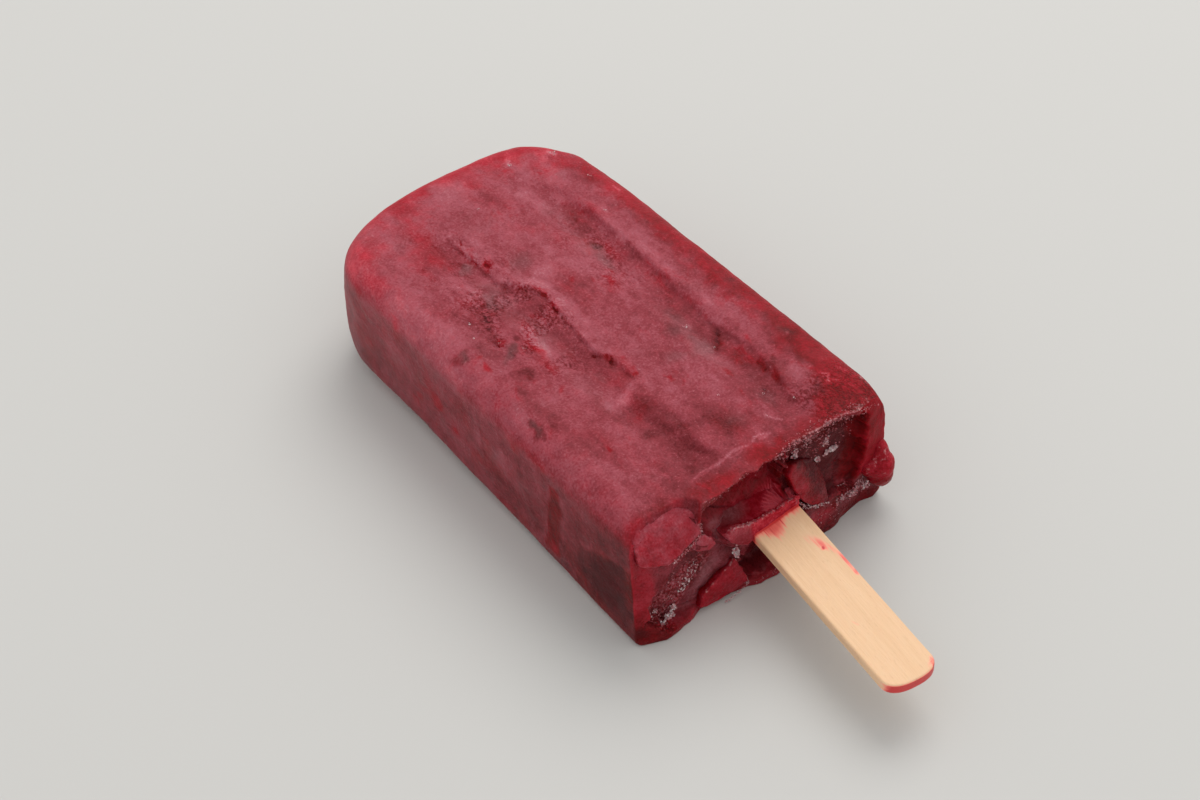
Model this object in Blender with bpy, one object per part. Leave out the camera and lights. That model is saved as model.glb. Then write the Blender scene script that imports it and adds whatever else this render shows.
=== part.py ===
"""Ice pop: a frozen fruit-juice bar on a flat wooden stick, lying on its broad side.

The mould has draft, so the bar is a little wider and thicker at the stick end than at its
rounded tip. Two shallow flutes run along each broad face. The stick end is broken ice: a hollow
over the stick, a shelf and a slope beside it, a slanting flake at one corner, a chip below the
stick and a round bead of juice at the far side.

Units are metres. The stick points along +X, +Z is up and the bar rests on z = 0. The bar's own
frame, below the root empty, starts at the stick end's rim: the ice reaches back along -X.
"""

import math

import bmesh
import bpy
from mathutils import Vector, noise

# Frozen bar
BAR_LENGTH = 0.0910
BAR_WIDTH = 0.0512            # at the stick end
TIP_WIDTH = 0.0495
BAR_THICKNESS = 0.0248        # at the stick end
TIP_THICKNESS = 0.0239
TOP_EDGE_RADIUS = 0.0046
REST_EDGE_RADIUS = 0.0030     # sharper, round the face that the bar lies on
TIP_CORNER_LENGTH = 0.0140    # where each side starts to turn into the tip
TIP_HANDLE = 0.0155           # how flat the tip is across its middle
CORNER_HANDLE = 0.0094

# Flutes along both broad faces
FLUTE_OFFSETS = (-0.0088, 0.0125)
FLUTE_LENGTH = 0.068
FLUTE_CENTRE_X = -0.041
FLUTE_HALF_WIDTH = 0.0036
FLUTE_DEPTH = 0.0010

# Wooden stick
STICK_LENGTH = 0.1140
STICK_WIDTH = 0.0095
STICK_THICKNESS = 0.0020
STICK_CORNER = 0.0030
STICK_EDGE = 0.0003
STICK_SHOWN = 0.0377
STICK_EXIT = Vector((0.0006, 0.0018, 0.01065))
STICK_YAW = math.radians(-5.1)
STICK_PITCH = math.radians(2.6)

# Bead of juice frozen onto the far side of the stick end
BEAD_CENTRE = Vector((-0.0016, 0.0241, 0.0076))
BEAD_RADIUS = 0.0032

GAP = 0.0003                  # left between the ice and the stick
ROUGHNESS = 0.0005            # how far broken faces wander
ROUGHNESS_SCALE = 340.0       # noise cells in a metre

# Broken ice at the stick end, as blocks: centre, size and turn (degrees) in the bar's frame
BREAKS_AWAY = {
    "hollow_over_stick": ((0.0012, -0.0036, 0.0178), (0.0124, 0.0180, 0.0098), (0, 0, 0)),
    "shelf_beside_stick": ((0.0030, 0.0139, 0.0160), (0.0090, 0.0168, 0.0146), (0, 0, 6)),
    "slope_below_shelf": ((0.0026, 0.0186, -0.0006), (0.0100, 0.0190, 0.0120), (0, 26, 0)),
    "pocket_under_stick": ((0.0020, 0.0010, 0.0052), (0.0090, 0.0086, 0.0058), (0, 0, 0)),
    "frosted_groove": ((0.0022, -0.0160, 0.0082), (0.0070, 0.0058, 0.0140), (48, 0, 0)),
    "corner_slope": ((0.0020, -0.0190, 0.0220), (0.0050, 0.0130, 0.0130), (6, -31, 0)),
}
BREAKS_OUT = {
    "corner_flake": ((-0.0020, -0.0186, 0.0196), (0.0044, 0.0102, 0.0086), (8, -31, 0)),
    "lower_chip": ((-0.0016, -0.0088, 0.0048), (0.0062, 0.0092, 0.0044), (38, 0, 0)),
    "ledge_beside_stick": ((-0.0022, -0.0042, 0.0100), (0.0062, 0.0056, 0.0044), (0, 0, 0)),
}

ICE_COLOUR = (0.36, 0.035, 0.055, 1.0)
WOOD_COLOUR = (0.80, 0.58, 0.36, 1.0)


def clear_scene():
    """Removes every object that the file starts with."""
    for obj in list(bpy.data.objects):
        bpy.data.objects.remove(obj, do_unlink=True)


def make_collection(name):
    """Adds an empty collection to the scene."""
    collection = bpy.data.collections.new(name)
    bpy.context.scene.collection.children.link(collection)
    return collection


def make_material(name, colour, roughness):
    """A Principled material of one colour."""
    material = bpy.data.materials.new(name)
    material.use_nodes = True
    shader = material.node_tree.nodes["Principled BSDF"]
    shader.inputs["Base Color"].default_value = colour
    shader.inputs["Roughness"].default_value = roughness
    shader.inputs["Metallic"].default_value = 0.0
    material.diffuse_color = colour
    return material


def object_from_bmesh(bm, name, collection, parent):
    """Stores a bmesh as a new object under the given parent."""
    mesh = bpy.data.meshes.new(name)
    bm.normal_update()
    bm.to_mesh(mesh)
    bm.free()
    obj = bpy.data.objects.new(name, mesh)
    obj.parent = parent
    collection.objects.link(obj)
    return obj


def mark_cutter(obj):
    """Shows a cutter as wire only, and keeps it out of renders."""
    obj.hide_render = True
    obj.display_type = "WIRE"


def flat_outline(points, half_depth, steps):
    """Extrudes a closed Bezier outline both ways, and returns it as a bmesh.

    Each point is (place, handle towards the last point, handle towards the next), and a handle
    of None points straight at its neighbour.
    """
    curve = bpy.data.curves.new("outline", "CURVE")
    curve.dimensions = "2D"
    curve.fill_mode = "BOTH"
    curve.extrude = half_depth
    curve.resolution_u = steps
    spline = curve.splines.new("BEZIER")
    spline.bezier_points.add(len(points) - 1)
    spline.use_cyclic_u = True
    for point, (place, before, after) in zip(spline.bezier_points, points):
        point.handle_left_type = "VECTOR" if before is None else "FREE"
        point.handle_right_type = "VECTOR" if after is None else "FREE"
        point.co = (*place, 0)
        if before is not None:
            point.handle_left = (*before, 0)
        if after is not None:
            point.handle_right = (*after, 0)
    guide = bpy.data.objects.new("outline", curve)
    bpy.context.scene.collection.objects.link(guide)
    evaluated = guide.evaluated_get(bpy.context.evaluated_depsgraph_get())
    bm = bmesh.new()
    bm.from_mesh(bpy.data.meshes.new_from_object(evaluated))
    bpy.data.objects.remove(guide, do_unlink=True)
    bmesh.ops.remove_doubles(bm, verts=bm.verts, dist=1e-6)
    bmesh.ops.dissolve_limit(bm, angle_limit=math.radians(0.5), verts=bm.verts, edges=bm.edges)
    bmesh.ops.recalc_face_normals(bm, faces=bm.faces)
    return bm


def taper(value, at_tip, x):
    """A size that changes evenly from the stick end (x = 0) to the tip."""
    return value + (at_tip - value) * (-x / BAR_LENGTH)


def bar_blank(collection, parent):
    """The moulded bar before it breaks: a tapered block with a rounded tip and rounded edges."""
    half = BAR_WIDTH / 2
    tip_half = TIP_WIDTH / 2
    turn_x = TIP_CORNER_LENGTH - BAR_LENGTH
    points = [
        ((0, half), None, None),
        ((turn_x, tip_half), (turn_x + 0.01, tip_half), (turn_x - CORNER_HANDLE, tip_half)),
        ((-BAR_LENGTH, 0), (-BAR_LENGTH, TIP_HANDLE), (-BAR_LENGTH, -TIP_HANDLE)),
        ((turn_x, -tip_half), (turn_x - CORNER_HANDLE, -tip_half), (turn_x + 0.01, -tip_half)),
        ((0, -half), None, None),
    ]
    bm = flat_outline(points, 0.5, 10)
    for vert in bm.verts:
        thickness = taper(BAR_THICKNESS, TIP_THICKNESS, vert.co.x)
        vert.co.z = (vert.co.z + 0.5) * thickness
    round_outline(bm, BAR_THICKNESS / 2, BAR_THICKNESS * 2, TOP_EDGE_RADIUS)
    round_outline(bm, -BAR_THICKNESS, 1e-5, REST_EDGE_RADIUS)
    return object_from_bmesh(bm, "frozen_bar", collection, parent)


def round_outline(bm, lowest, highest, radius):
    """Rounds the outline edges between two heights, apart from those at the stick end."""
    rounded = []
    for edge in bm.edges:
        ends = edge.verts
        level = all(lowest < vert.co.z < highest for vert in ends)
        at_stick_end = all(vert.co.x > -1e-5 for vert in ends)
        if level and not at_stick_end:
            rounded.append(edge)
    bmesh.ops.bevel(bm, geom=rounded, offset=radius, segments=5, profile=0.5, affect="EDGES")


def flute_cutter(name, offset, top, collection, parent):
    """A capsule that cuts one shallow flute, seen from above or below."""
    radius = (FLUTE_HALF_WIDTH ** 2 + FLUTE_DEPTH ** 2) / (2 * FLUTE_DEPTH)
    reach = FLUTE_LENGTH / 2 - FLUTE_HALF_WIDTH
    bm = bmesh.new()
    bmesh.ops.create_uvsphere(bm, u_segments=32, v_segments=15, radius=radius)
    for vert in bm.verts:
        x, y, z = vert.co
        vert.co = Vector((z + math.copysign(reach, z), y, -x))
    bmesh.ops.recalc_face_normals(bm, faces=bm.faces)
    cutter = object_from_bmesh(bm, name, collection, parent)
    slope = math.atan2(BAR_THICKNESS - TIP_THICKNESS, BAR_LENGTH) if top else 0.0
    surface = taper(BAR_THICKNESS, TIP_THICKNESS, FLUTE_CENTRE_X) if top else 0.0
    clearance = radius - FLUTE_DEPTH
    cutter.location = (FLUTE_CENTRE_X, offset, surface + clearance if top else -clearance)
    cutter.rotation_euler = (0, -slope, 0)
    mark_cutter(cutter)
    return cutter


def broken_block(name, shape, collection, parent):
    """A block with chipped edges and faces that wander, as ice breaks."""
    centre, size, turn = shape
    bm = bmesh.new()
    bmesh.ops.create_cube(bm, size=1.0)
    bmesh.ops.scale(bm, vec=size, verts=bm.verts)
    bmesh.ops.bevel(bm, geom=list(bm.edges), offset=min(size) * 0.14, segments=1, affect="EDGES")
    bmesh.ops.subdivide_edges(bm, edges=bm.edges, cuts=2, use_grid_fill=True)
    bmesh.ops.triangulate(bm, faces=bm.faces)
    for vert in bm.verts:
        cell = (vert.co + Vector(centre)) * ROUGHNESS_SCALE
        vert.co += noise.noise_vector(cell) * ROUGHNESS
    block = object_from_bmesh(bm, name, collection, parent)
    block.location = centre
    block.rotation_euler = [math.radians(angle) for angle in turn]
    mark_cutter(block)
    return block


def bead(collection, parent):
    """The round bead of juice at the far side of the stick end."""
    bm = bmesh.new()
    bmesh.ops.create_icosphere(bm, subdivisions=3, radius=BEAD_RADIUS)
    obj = object_from_bmesh(bm, "bead", collection, parent)
    obj.location = BEAD_CENTRE
    mark_cutter(obj)
    return obj


def stick_shape(name, grow, collection, parent):
    """The flat stick with its rounded ends, grown by the given amount all round."""
    half = STICK_WIDTH / 2 + grow
    end = STICK_SHOWN + grow
    start = STICK_SHOWN - STICK_LENGTH - grow
    corner = STICK_CORNER
    pull = corner * 0.55
    points = []
    for tip, inward in ((end, -1), (start, 1)):
        turn_x = tip + inward * corner
        side = -half * inward
        points.append(((turn_x, -side), None, (turn_x - inward * pull, -side)))
        points.append(((tip, 0), (tip, -side * 0.62), (tip, side * 0.62)))
        points.append(((turn_x, side), (turn_x - inward * pull, side), None))
    bm = flat_outline(points, STICK_THICKNESS / 2 + grow, 6)
    rim = [edge for edge in bm.edges if abs(edge.verts[0].co.z - edge.verts[1].co.z) < 1e-6]
    bmesh.ops.bevel(bm, geom=rim, offset=STICK_EDGE, segments=1, affect="EDGES")
    obj = object_from_bmesh(bm, name, collection, parent)
    obj.location = STICK_EXIT
    obj.rotation_euler = (0, STICK_PITCH, STICK_YAW)
    return obj


def boolean(target, tool, operation):
    """Adds a Boolean modifier that cuts or joins the tool."""
    modifier = target.modifiers.new(tool.name, "BOOLEAN")
    modifier.operation = operation
    modifier.solver = "EXACT"
    modifier.object = tool


def shade(obj, material, sharp_degrees):
    """Gives an object its material, with smooth faces between sharp edges."""
    obj.data.materials.append(material)
    obj.data.shade_smooth()
    obj.data.set_sharp_from_angle(angle=math.radians(sharp_degrees))


def frozen_bar(pieces, cutters, root):
    """The bar: moulded blank, broken end, flutes and the slot that holds the stick."""
    bar = bar_blank(pieces, root)
    for name, shape in BREAKS_AWAY.items():
        boolean(bar, broken_block(name, shape, cutters, root), "DIFFERENCE")
    for name, shape in BREAKS_OUT.items():
        boolean(bar, broken_block(name, shape, cutters, root), "UNION")
    boolean(bar, bead(cutters, root), "UNION")
    for side, top in (("top", True), ("bottom", False)):
        for number, offset in enumerate(FLUTE_OFFSETS):
            name = f"{side}_flute_{number + 1}"
            boolean(bar, flute_cutter(name, offset, top, cutters, root), "DIFFERENCE")
    slot = stick_shape("stick_slot", GAP, cutters, root)
    mark_cutter(slot)
    boolean(bar, slot, "DIFFERENCE")
    shade(bar, make_material("frozen_juice", ICE_COLOUR, 0.35), 30)
    return bar


def wooden_stick(pieces, root):
    """The stick, most of its length frozen into the bar."""
    stick = stick_shape("stick", 0.0, pieces, root)
    shade(stick, make_material("birch_wood", WOOD_COLOUR, 0.65), 30)
    return stick


def root_empty(collection):
    """The empty that carries everything, set so that the origin is under the middle of the pop."""
    stick_reach = STICK_EXIT.x + STICK_SHOWN * math.cos(STICK_YAW) * math.cos(STICK_PITCH)
    bead_reach = BEAD_CENTRE.y + BEAD_RADIUS
    root = bpy.data.objects.new("ice_pop_root", None)
    root.location = ((BAR_LENGTH - stick_reach) / 2, (BAR_WIDTH / 2 - bead_reach) / 2, 0)
    collection.objects.link(root)
    return root


def main():
    clear_scene()
    pieces = make_collection("ice_pop")
    cutters = make_collection("cutters")
    root = root_empty(pieces)
    frozen_bar(pieces, cutters, root)
    wooden_stick(pieces, root)


main()
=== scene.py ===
"""Looks of the ice pop: a frozen fruit-juice bar on a flat birch stick, lying on a pale floor.

The order is: sizes, noise and marks, meshes, the moulded skin and its fields, the broken end, the
pieces of ice on it, frost grains, the stick, materials, then floor, light and camera.

Shapes are worked out in millimetres in the bar's own frame: x = 0 is the rim of the broken stick
end and the ice reaches back to x = -91, y = 0 is the middle of the bar's width and z = 0 is the
floor. to_frame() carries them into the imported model's frame.
"""

import math

import bmesh
import bpy
import numpy as np
from mathutils import Matrix, Vector


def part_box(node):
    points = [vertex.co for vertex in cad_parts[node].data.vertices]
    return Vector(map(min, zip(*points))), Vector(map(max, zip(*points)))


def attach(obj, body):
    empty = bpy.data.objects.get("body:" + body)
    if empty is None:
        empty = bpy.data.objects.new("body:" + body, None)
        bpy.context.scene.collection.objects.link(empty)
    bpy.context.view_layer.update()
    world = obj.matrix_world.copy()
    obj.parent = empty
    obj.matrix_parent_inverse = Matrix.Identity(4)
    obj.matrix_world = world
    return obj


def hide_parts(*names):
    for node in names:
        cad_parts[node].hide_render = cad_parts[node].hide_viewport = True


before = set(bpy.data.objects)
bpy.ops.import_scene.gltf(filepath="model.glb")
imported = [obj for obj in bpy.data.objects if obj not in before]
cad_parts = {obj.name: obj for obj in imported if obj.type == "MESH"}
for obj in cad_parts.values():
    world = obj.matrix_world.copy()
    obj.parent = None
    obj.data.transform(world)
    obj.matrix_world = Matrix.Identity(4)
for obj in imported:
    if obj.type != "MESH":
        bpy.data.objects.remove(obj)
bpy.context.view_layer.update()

# ---------------------------------------------------------------- sizes, in millimetres
MM = 0.001
BAR_LENGTH = 91.0
HALF_WIDTH = 25.6             # at the stick end
TIP_HALF_WIDTH = 24.75
THICKNESS = 24.8              # at the stick end
TIP_THICKNESS = 23.9
TIP_TURN = 14.0               # the last stretch of each side, which turns into the tip
TURN_X = TIP_TURN - BAR_LENGTH
TIP_POWER = 2.33              # superellipse power of the tip seen from above
TOP_RADIUS = 4.6
# The lower edge's radius along the bar: x, radius
REST_RADIUS = ((-91, 4.6), (-74, 5), (-52, 4.4), (-35, 3.2), (-20, 2.4), (-12, 1.6), (0, 1.3))
RIM_RADIUS = 0.3

FLUTE_MIDDLES = (12.2, -8.4)
FLUTE_SPAN = (-72.0, -8.0)    # x where the flutes start and stop
FLUTE_DEPTH = 0.62
ALMOST_WHOLE = ((-52.4, -8.6), (4.6, 4.0))    # middle, radii of a smoother spot in the second flute

STICK_LENGTH = 114.0
STICK_SHOWN = 37.7
STICK_HALF_WIDTH = 4.75
STICK_HALF_THICKNESS = 1.0
STICK_EDGE_RADIUS = 0.35
STICK_END_TURN = 3.2
STICK_END_POWER = 2.5
STICK_EXIT = np.array([0.6, 1.8, 10.65])
STICK_YAW = math.radians(-5.1)
STICK_DIP = math.radians(2.6)
SLOT_GAP = 0.12
SLOT_MOUTH = 3.8              # how far behind the stick's exit the slot opens
SLOT_DEPTHS = (1.5, 6.0, 20.0, 45.0, 65.0, 73.6)

BAR_LOW, BAR_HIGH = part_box("frozen_bar")
ORIGIN = np.array([BAR_LOW[0] + BAR_LENGTH * MM, BAR_LOW[1] + HALF_WIDTH * MM, BAR_LOW[2]])


# ---------------------------------------------------------------- numbers and noise
def smooth(low, high, value):
    """0 below low, 1 above high, and the cubic 3t^2 - 2t^3 between them."""
    t = np.clip((value - low) / (high - low), 0.0, 1.0)
    return t * t * (3.0 - 2.0 * t)


def blend(first, second, share):
    """The weighted mean: first where share is 0, second where it is 1."""
    return first + (second - first) * share


def along_table(value, table):
    """Straight-line interpolation in a short table of (place, value) pairs."""
    places, values = zip(*table)
    return np.interp(value, places, values)


def mixed_bits(cells, seed):
    """A repeatable 30-bit random number for each whole-number cell."""
    n = cells.astype(np.int64).astype(np.uint32)
    mixed = n[..., 0] * np.uint32(374761393) + n[..., 1] * np.uint32(668265263)
    mixed = mixed + n[..., 2] * np.uint32(2246822519) + np.uint32(seed * 3266489917 % 4294967296)
    mixed = (mixed ^ (mixed >> np.uint32(13))) * np.uint32(1274126177)
    mixed = (mixed ^ (mixed >> np.uint32(15))) * np.uint32(2654435761)
    return mixed ^ (mixed >> np.uint32(16))


def noise(points, size, seed):
    """Gradient noise, about -1 to 1: a random slope at each cell corner, blended by t^5 curves."""
    scaled = points / size
    cell = np.floor(scaled)
    t = scaled - cell
    fade = t * t * t * (t * (t * 6.0 - 15.0) + 10.0)
    total = np.zeros(points.shape[:-1])
    for corner in np.ndindex(2, 2, 2):
        bits = mixed_bits(cell + np.array(corner), seed)
        slope = np.zeros_like(total)
        for axis in range(3):
            part = ((bits >> np.uint32(10 * axis)) & np.uint32(1023)) / 511.5 - 1.0
            slope += part * (t[..., axis] - corner[axis])
        total += slope * np.prod(np.where(corner, fade, 1.0 - fade), axis=-1)
    return 1.7 * total


TURN_BETWEEN_OCTAVES = np.array([[0.36, 0.48, -0.8], [-0.8, 0.6, 0.0], [0.48, 0.64, 0.6]])


def rough(points, size, octaves, seed):
    """Fractal noise: each octave is turned, has half the size and 0.55 of the height before."""
    size = np.broadcast_to(np.asarray(size, dtype=float), (3,))
    scaled = points / size
    total = np.zeros(points.shape[:-1])
    height = 1.0
    for octave in range(octaves):
        total += height * noise(scaled, 1.0, seed + 17 * octave)
        scaled = scaled @ TURN_BETWEEN_OCTAVES * 2.0 + 5.3
        height *= 0.55
    return total


def parts(points):
    """The x, y and z of an array of points."""
    return np.moveaxis(points, -1, 0)


def on_end(y, z):
    """Places in the plane x = 0, for noise that does not change with depth."""
    return np.stack([np.zeros_like(y), y, z], axis=-1)


def run_along(points):
    """How far each of a chain of points is from the first, along the chain."""
    steps = np.linalg.norm(np.diff(points, axis=0), axis=-1)
    return np.concatenate([np.zeros((1,) + steps.shape[1:]), np.cumsum(steps, axis=0)])


def spot(x, y, centre, radii, turn=0.0):
    """A round or oval spot: 1 at its centre, falling as (1 - d^2)^2 to 0 at its edge."""
    c, s = math.cos(math.radians(turn)), math.sin(math.radians(turn))
    dx, dy = x - centre[0], y - centre[1]
    along = (dx * c + dy * s) / radii[0]
    across = (dy * c - dx * s) / radii[1]
    return np.clip(1.0 - along ** 2 - across ** 2, 0.0, 1.0) ** 2


def spots(x, y, table):
    """The sum of oval spots: each is x, y, two radii, turn in degrees, strength."""
    total = np.zeros(np.broadcast(x, y).shape)
    for cx, cy, long_radius, short_radius, turn, strength in table:
        total += strength * spot(x, y, (cx, cy), (long_radius, short_radius), turn)
    return total


def line_distance(x, y, points):
    """The distance to an open chain of straight stretches."""
    nearest = np.full(np.broadcast(x, y).shape, 1e9)
    for (ax, ay), (bx, by) in zip(points[:-1], points[1:]):
        length = (bx - ax) ** 2 + (by - ay) ** 2
        t = np.clip(((x - ax) * (bx - ax) + (y - ay) * (by - ay)) / length, 0.0, 1.0)
        nearest = np.minimum(nearest, np.hypot(x - ax - t * (bx - ax), y - ay - t * (by - ay)))
    return nearest


def lines(x, y, table):
    """The strongest of several soft lines: each is its chain of points, width and strength."""
    total = np.zeros(np.broadcast(x, y).shape)
    for chain, width, strength in table:
        share = 1.0 - smooth(0.15 * width, width, line_distance(x, y, chain))
        total = np.maximum(total, strength * share)
    return total


def near_lines(x, y, table, width):
    """1 on a line of the table, falling evenly to 0 at the width; weak lines stay below 1."""
    total = np.zeros(np.broadcast(x, y).shape)
    for chain, _, strength in table:
        share = np.clip(1.0 - line_distance(x, y, chain) / width, 0.0, 1.0)
        total = np.maximum(total, min(1.0, 2.2 * strength) * share)
    return total


def below_line(x, y, line, sharp, width):
    """1 just on the -y side of a line y(x), 0 beyond it, fading out over a width below the line."""
    down = along_table(x, line) - y
    ends = smooth(line[0][0], line[0][0] + 4.0, x) * smooth(line[-1][0], line[-1][0] - 3.0, x)
    return smooth(-0.5 * sharp, 0.5 * sharp, down) * smooth(width, 0.2 * width, down) * ends


def above_line(x, y, line, sharp, width):
    """1 just on the +y side of a line y(x), 0 beyond it, fading out over a width above the line."""
    return below_line(x, -y, tuple((px, -py) for px, py in line), sharp, width)


def depth_inside(y, z, corners):
    """How far a point is inside a convex outline given anticlockwise; negative outside."""
    deepest = np.full(np.broadcast(y, z).shape, 1e9)
    for (ay, az), (by, bz) in zip(corners, corners[1:] + corners[:1]):
        length = math.hypot(by - ay, bz - az)
        deepest = np.minimum(deepest, ((by - ay) * (z - az) - (bz - az) * (y - ay)) / length)
    return deepest


def within(y, z, corners, soft):
    """1 inside a convex outline and 0 outside it, blended over a soft margin."""
    return smooth(-soft / 2, soft / 2, depth_inside(y, z, list(corners)))


# ---------------------------------------------------------------- meshes
def to_frame(points):
    """Millimetres in the bar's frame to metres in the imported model's frame."""
    return points * MM + ORIGIN


def scene_object(name, mesh):
    """Shades a finished mesh smooth and puts it into the scene, at the origin."""
    mesh.shade_smooth()
    obj = bpy.data.objects.new(name, mesh)
    bpy.context.scene.collection.objects.link(obj)
    return obj


def grid_mesh(name, points, fields, weld=0.004):
    """A closed mesh from rows of points that run round it, each row joined to the next.

    points is (rows, columns, 3) in millimetres, and the columns close on themselves. The first
    and last rows are closed by their own shape: all at one place, or folded on a line. Points
    that meet are welded, and the faces are turned outwards by the sign of the volume.
    """
    rows, columns = points.shape[:2]
    index = np.arange(rows * columns).reshape(rows, columns)
    right = np.roll(index, -1, axis=1)
    quads = np.stack([index[:-1], right[:-1], right[1:], index[1:]], axis=-1).reshape(-1, 4)
    flat = points.reshape(-1, 3)
    a, b, c, d = (flat[quads[:, k]] for k in range(4))
    volume = np.einsum("ij,ij->", a, np.cross(b, c)) + np.einsum("ij,ij->", a, np.cross(c, d))
    if volume < 0:
        quads = quads[:, ::-1]
    mesh = bpy.data.meshes.new(name)
    mesh.from_pydata(to_frame(flat), [], quads)
    add_fields(mesh, fields)
    weld_points(mesh, weld)
    return scene_object(name, mesh)


def add_fields(mesh, fields):
    """Writes each named array of numbers to the mesh as a point attribute."""
    for field, values in fields.items():
        attribute = mesh.attributes.new(field, "FLOAT", "POINT")
        attribute.data.foreach_set("value", np.asarray(values, dtype=np.float32).reshape(-1))


def weld_points(mesh, distance):
    """Merges points closer than the distance, in millimetres, and drops faces with no area."""
    bm = bmesh.new()
    bm.from_mesh(mesh)
    bmesh.ops.remove_doubles(bm, verts=bm.verts, dist=distance * MM)
    bmesh.ops.dissolve_degenerate(bm, edges=bm.edges, dist=1e-7)
    bm.to_mesh(mesh)
    bm.free()


def finish_piece(obj, node, material):
    """Gives a piece its material, puts it on the root body and hides the CAD node that it stands in for.
    """
    obj.data.materials.append(material)
    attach(obj, "root")
    if node:
        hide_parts(node)


# ---------------------------------------------------------------- the bar's moulded skin
def even_steps(count):
    """Even steps from 0 that stop one short of 1."""
    return np.linspace(0, 1, count, endpoint=False)


def whole_ring(half):
    """Both halves of a section as one closed ring, with side +1 on the +y half and -1 on the other."""
    ring = np.concatenate([half, half[-2:0:-1]])
    side = np.concatenate([np.ones(len(half)), -np.ones(len(half) - 2)])
    return ring.T, side


def round_end(count, power):
    """Sideways share s and lengthwise share k from an end's point round to its side: k^n + s^n = 1."""
    phi = np.linspace(0, math.pi / 2, count, endpoint=False)[:, None]
    return np.sin(phi) ** (2 / power), np.cos(phi) ** (2 / power)


# Points on half a section: on the top, the upper edge, the side, the lower edge and the rest
SECTION_POINTS = (84, 18, 32, 9, 25)
TIP_ROWS = 46
END_ROWS = 84                 # from the rim in to the slot


def half_section():
    """One half of the bar's cross-section, from the middle of the top to the middle of the rest.

    Each point is (how far out along the flat, angle round the edge, how high up the side, and
    whether the upper radius applies), so that one formula gives every station along the bar.
    """
    on_top, on_edge, on_side, on_low_edge, on_rest = SECTION_POINTS
    top_flat = [(t, 90.0, 1.0, 1.0) for t in even_steps(on_top)]
    top_edge = [(1.0, 90.0 * (1 - t), 1.0, 1.0) for t in even_steps(on_edge)]
    side = [(1.0, 0.0, 1 - t, 1 - t) for t in even_steps(on_side)]
    low_edge = [(1.0, -90.0 * t, 0.0, 0.0) for t in even_steps(on_low_edge)]
    rest_flat = [(1 - t, -90.0, 0.0, 0.0) for t in np.linspace(0, 1, on_rest)]
    return np.array(top_flat + top_edge + side + low_edge + rest_flat)


def full_section():
    """The bar's whole section: out, angle in radians, height, upper and side of each ring point."""
    (out, angle, height, upper), side = whole_ring(half_section())
    return out, np.radians(angle), height, upper, side


def bar_sizes(x):
    """Half width, thickness and lower edge radius at a distance x from the rim."""
    t = np.clip(-x / BAR_LENGTH, 0.0, 1.0)
    half_width = blend(HALF_WIDTH, TIP_HALF_WIDTH, t)
    thickness = blend(THICKNESS, TIP_THICKNESS, t)
    return half_width, thickness, along_table(x, REST_RADIUS)


def section_at(x, ring):
    """The ring's y and z at station x, and the reach it has when it turns into the tip.

    y = (half width - r) * out + r * cos(angle), z = lower centre + height * (upper centre -
    lower centre) + r * sin(angle), where r is the edge radius of that height.
    """
    out, angle, height, upper, side = ring
    half_width, thickness, rest_radius = bar_sizes(x)
    radius = blend(rest_radius, TOP_RADIUS, upper)
    y = ((half_width - radius) * out + radius * np.cos(angle)) * side
    low, high = rest_radius, thickness - TOP_RADIUS
    z = low + (high - low) * height + radius * np.sin(angle)
    reach = (TIP_TURN - radius) * out + radius * np.cos(angle)
    return y, z, reach


def tip_rows(ring, count):
    """The rounded tip: x = turn - reach * k and y = y of the section * s, with k^n + s^n = 1."""
    s, k = round_end(count, TIP_POWER)
    y, _, reach = section_at(np.array(TURN_X), ring)
    x = TURN_X - reach * k
    angle, side = ring[1], ring[4]
    _, z, _ = section_at(x, ring)
    points = np.stack([x, y * s, z], axis=-1)
    nx = -(k ** (TIP_POWER - 1)) / np.maximum(reach, 1e-3)
    ny = s ** (TIP_POWER - 1) * side / np.maximum(np.abs(y), 1e-3)
    length = np.hypot(nx, ny)
    flatness = np.cos(angle)
    normal = np.stack([nx / length * flatness, ny / length * flatness,
                       np.broadcast_to(np.sin(angle), nx.shape)], axis=-1)
    return points, normal


def body_rows(ring, rim_x):
    """Stations from the tip's turn to the rim, closer near the rim, each ring point to its rim x."""
    t = np.concatenate([np.linspace(0, 0.86, 116, endpoint=False), np.linspace(0.86, 1, 31)])
    x = blend(TURN_X, rim_x[None, :], t[:, None])
    y, z, _ = section_at(x, ring)
    angle, side = ring[1], ring[4]
    points = np.stack([x, y, z], axis=-1)
    ny = np.broadcast_to(np.cos(angle) * side, x.shape)
    nz = np.broadcast_to(np.sin(angle), x.shape)
    return points, np.stack([np.zeros_like(x), ny, nz], axis=-1)


def flute_share(x, y, middle):
    """Depth of one flute, 0 to 1: round ends, a steep wall on its +y side, a long slope on -y."""
    first, last = FLUTE_SPAN
    along = np.maximum(first - x, 0) + np.maximum(x - last, 0)
    across = y - middle
    width = np.where(across > 0, 3.0, 4.6)
    distance = np.hypot(along / 4.0, across / width)
    return 1.0 - smooth(0.3, 1.05, distance)


def crumbly_share(points):
    """Where the broad face is crumbly: along the second flute, thinning towards its ends."""
    x, y, _ = parts(points)
    band = spot(x, y, (-56.0, -9.5), (25.0, 9.0), -2.0) ** 0.5
    band = np.maximum(band, 0.9 * spot(x, y, (-71.0, -11.0), (12.0, 8.0)) ** 0.5)
    band = np.maximum(band, 0.5 * spot(x, y, (-58.0, 10.0), (24.0, 6.0)) ** 0.5)
    patchy = smooth(-0.45, 0.35, rough(points, 5.0, 2, 61))
    return band * patchy


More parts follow.
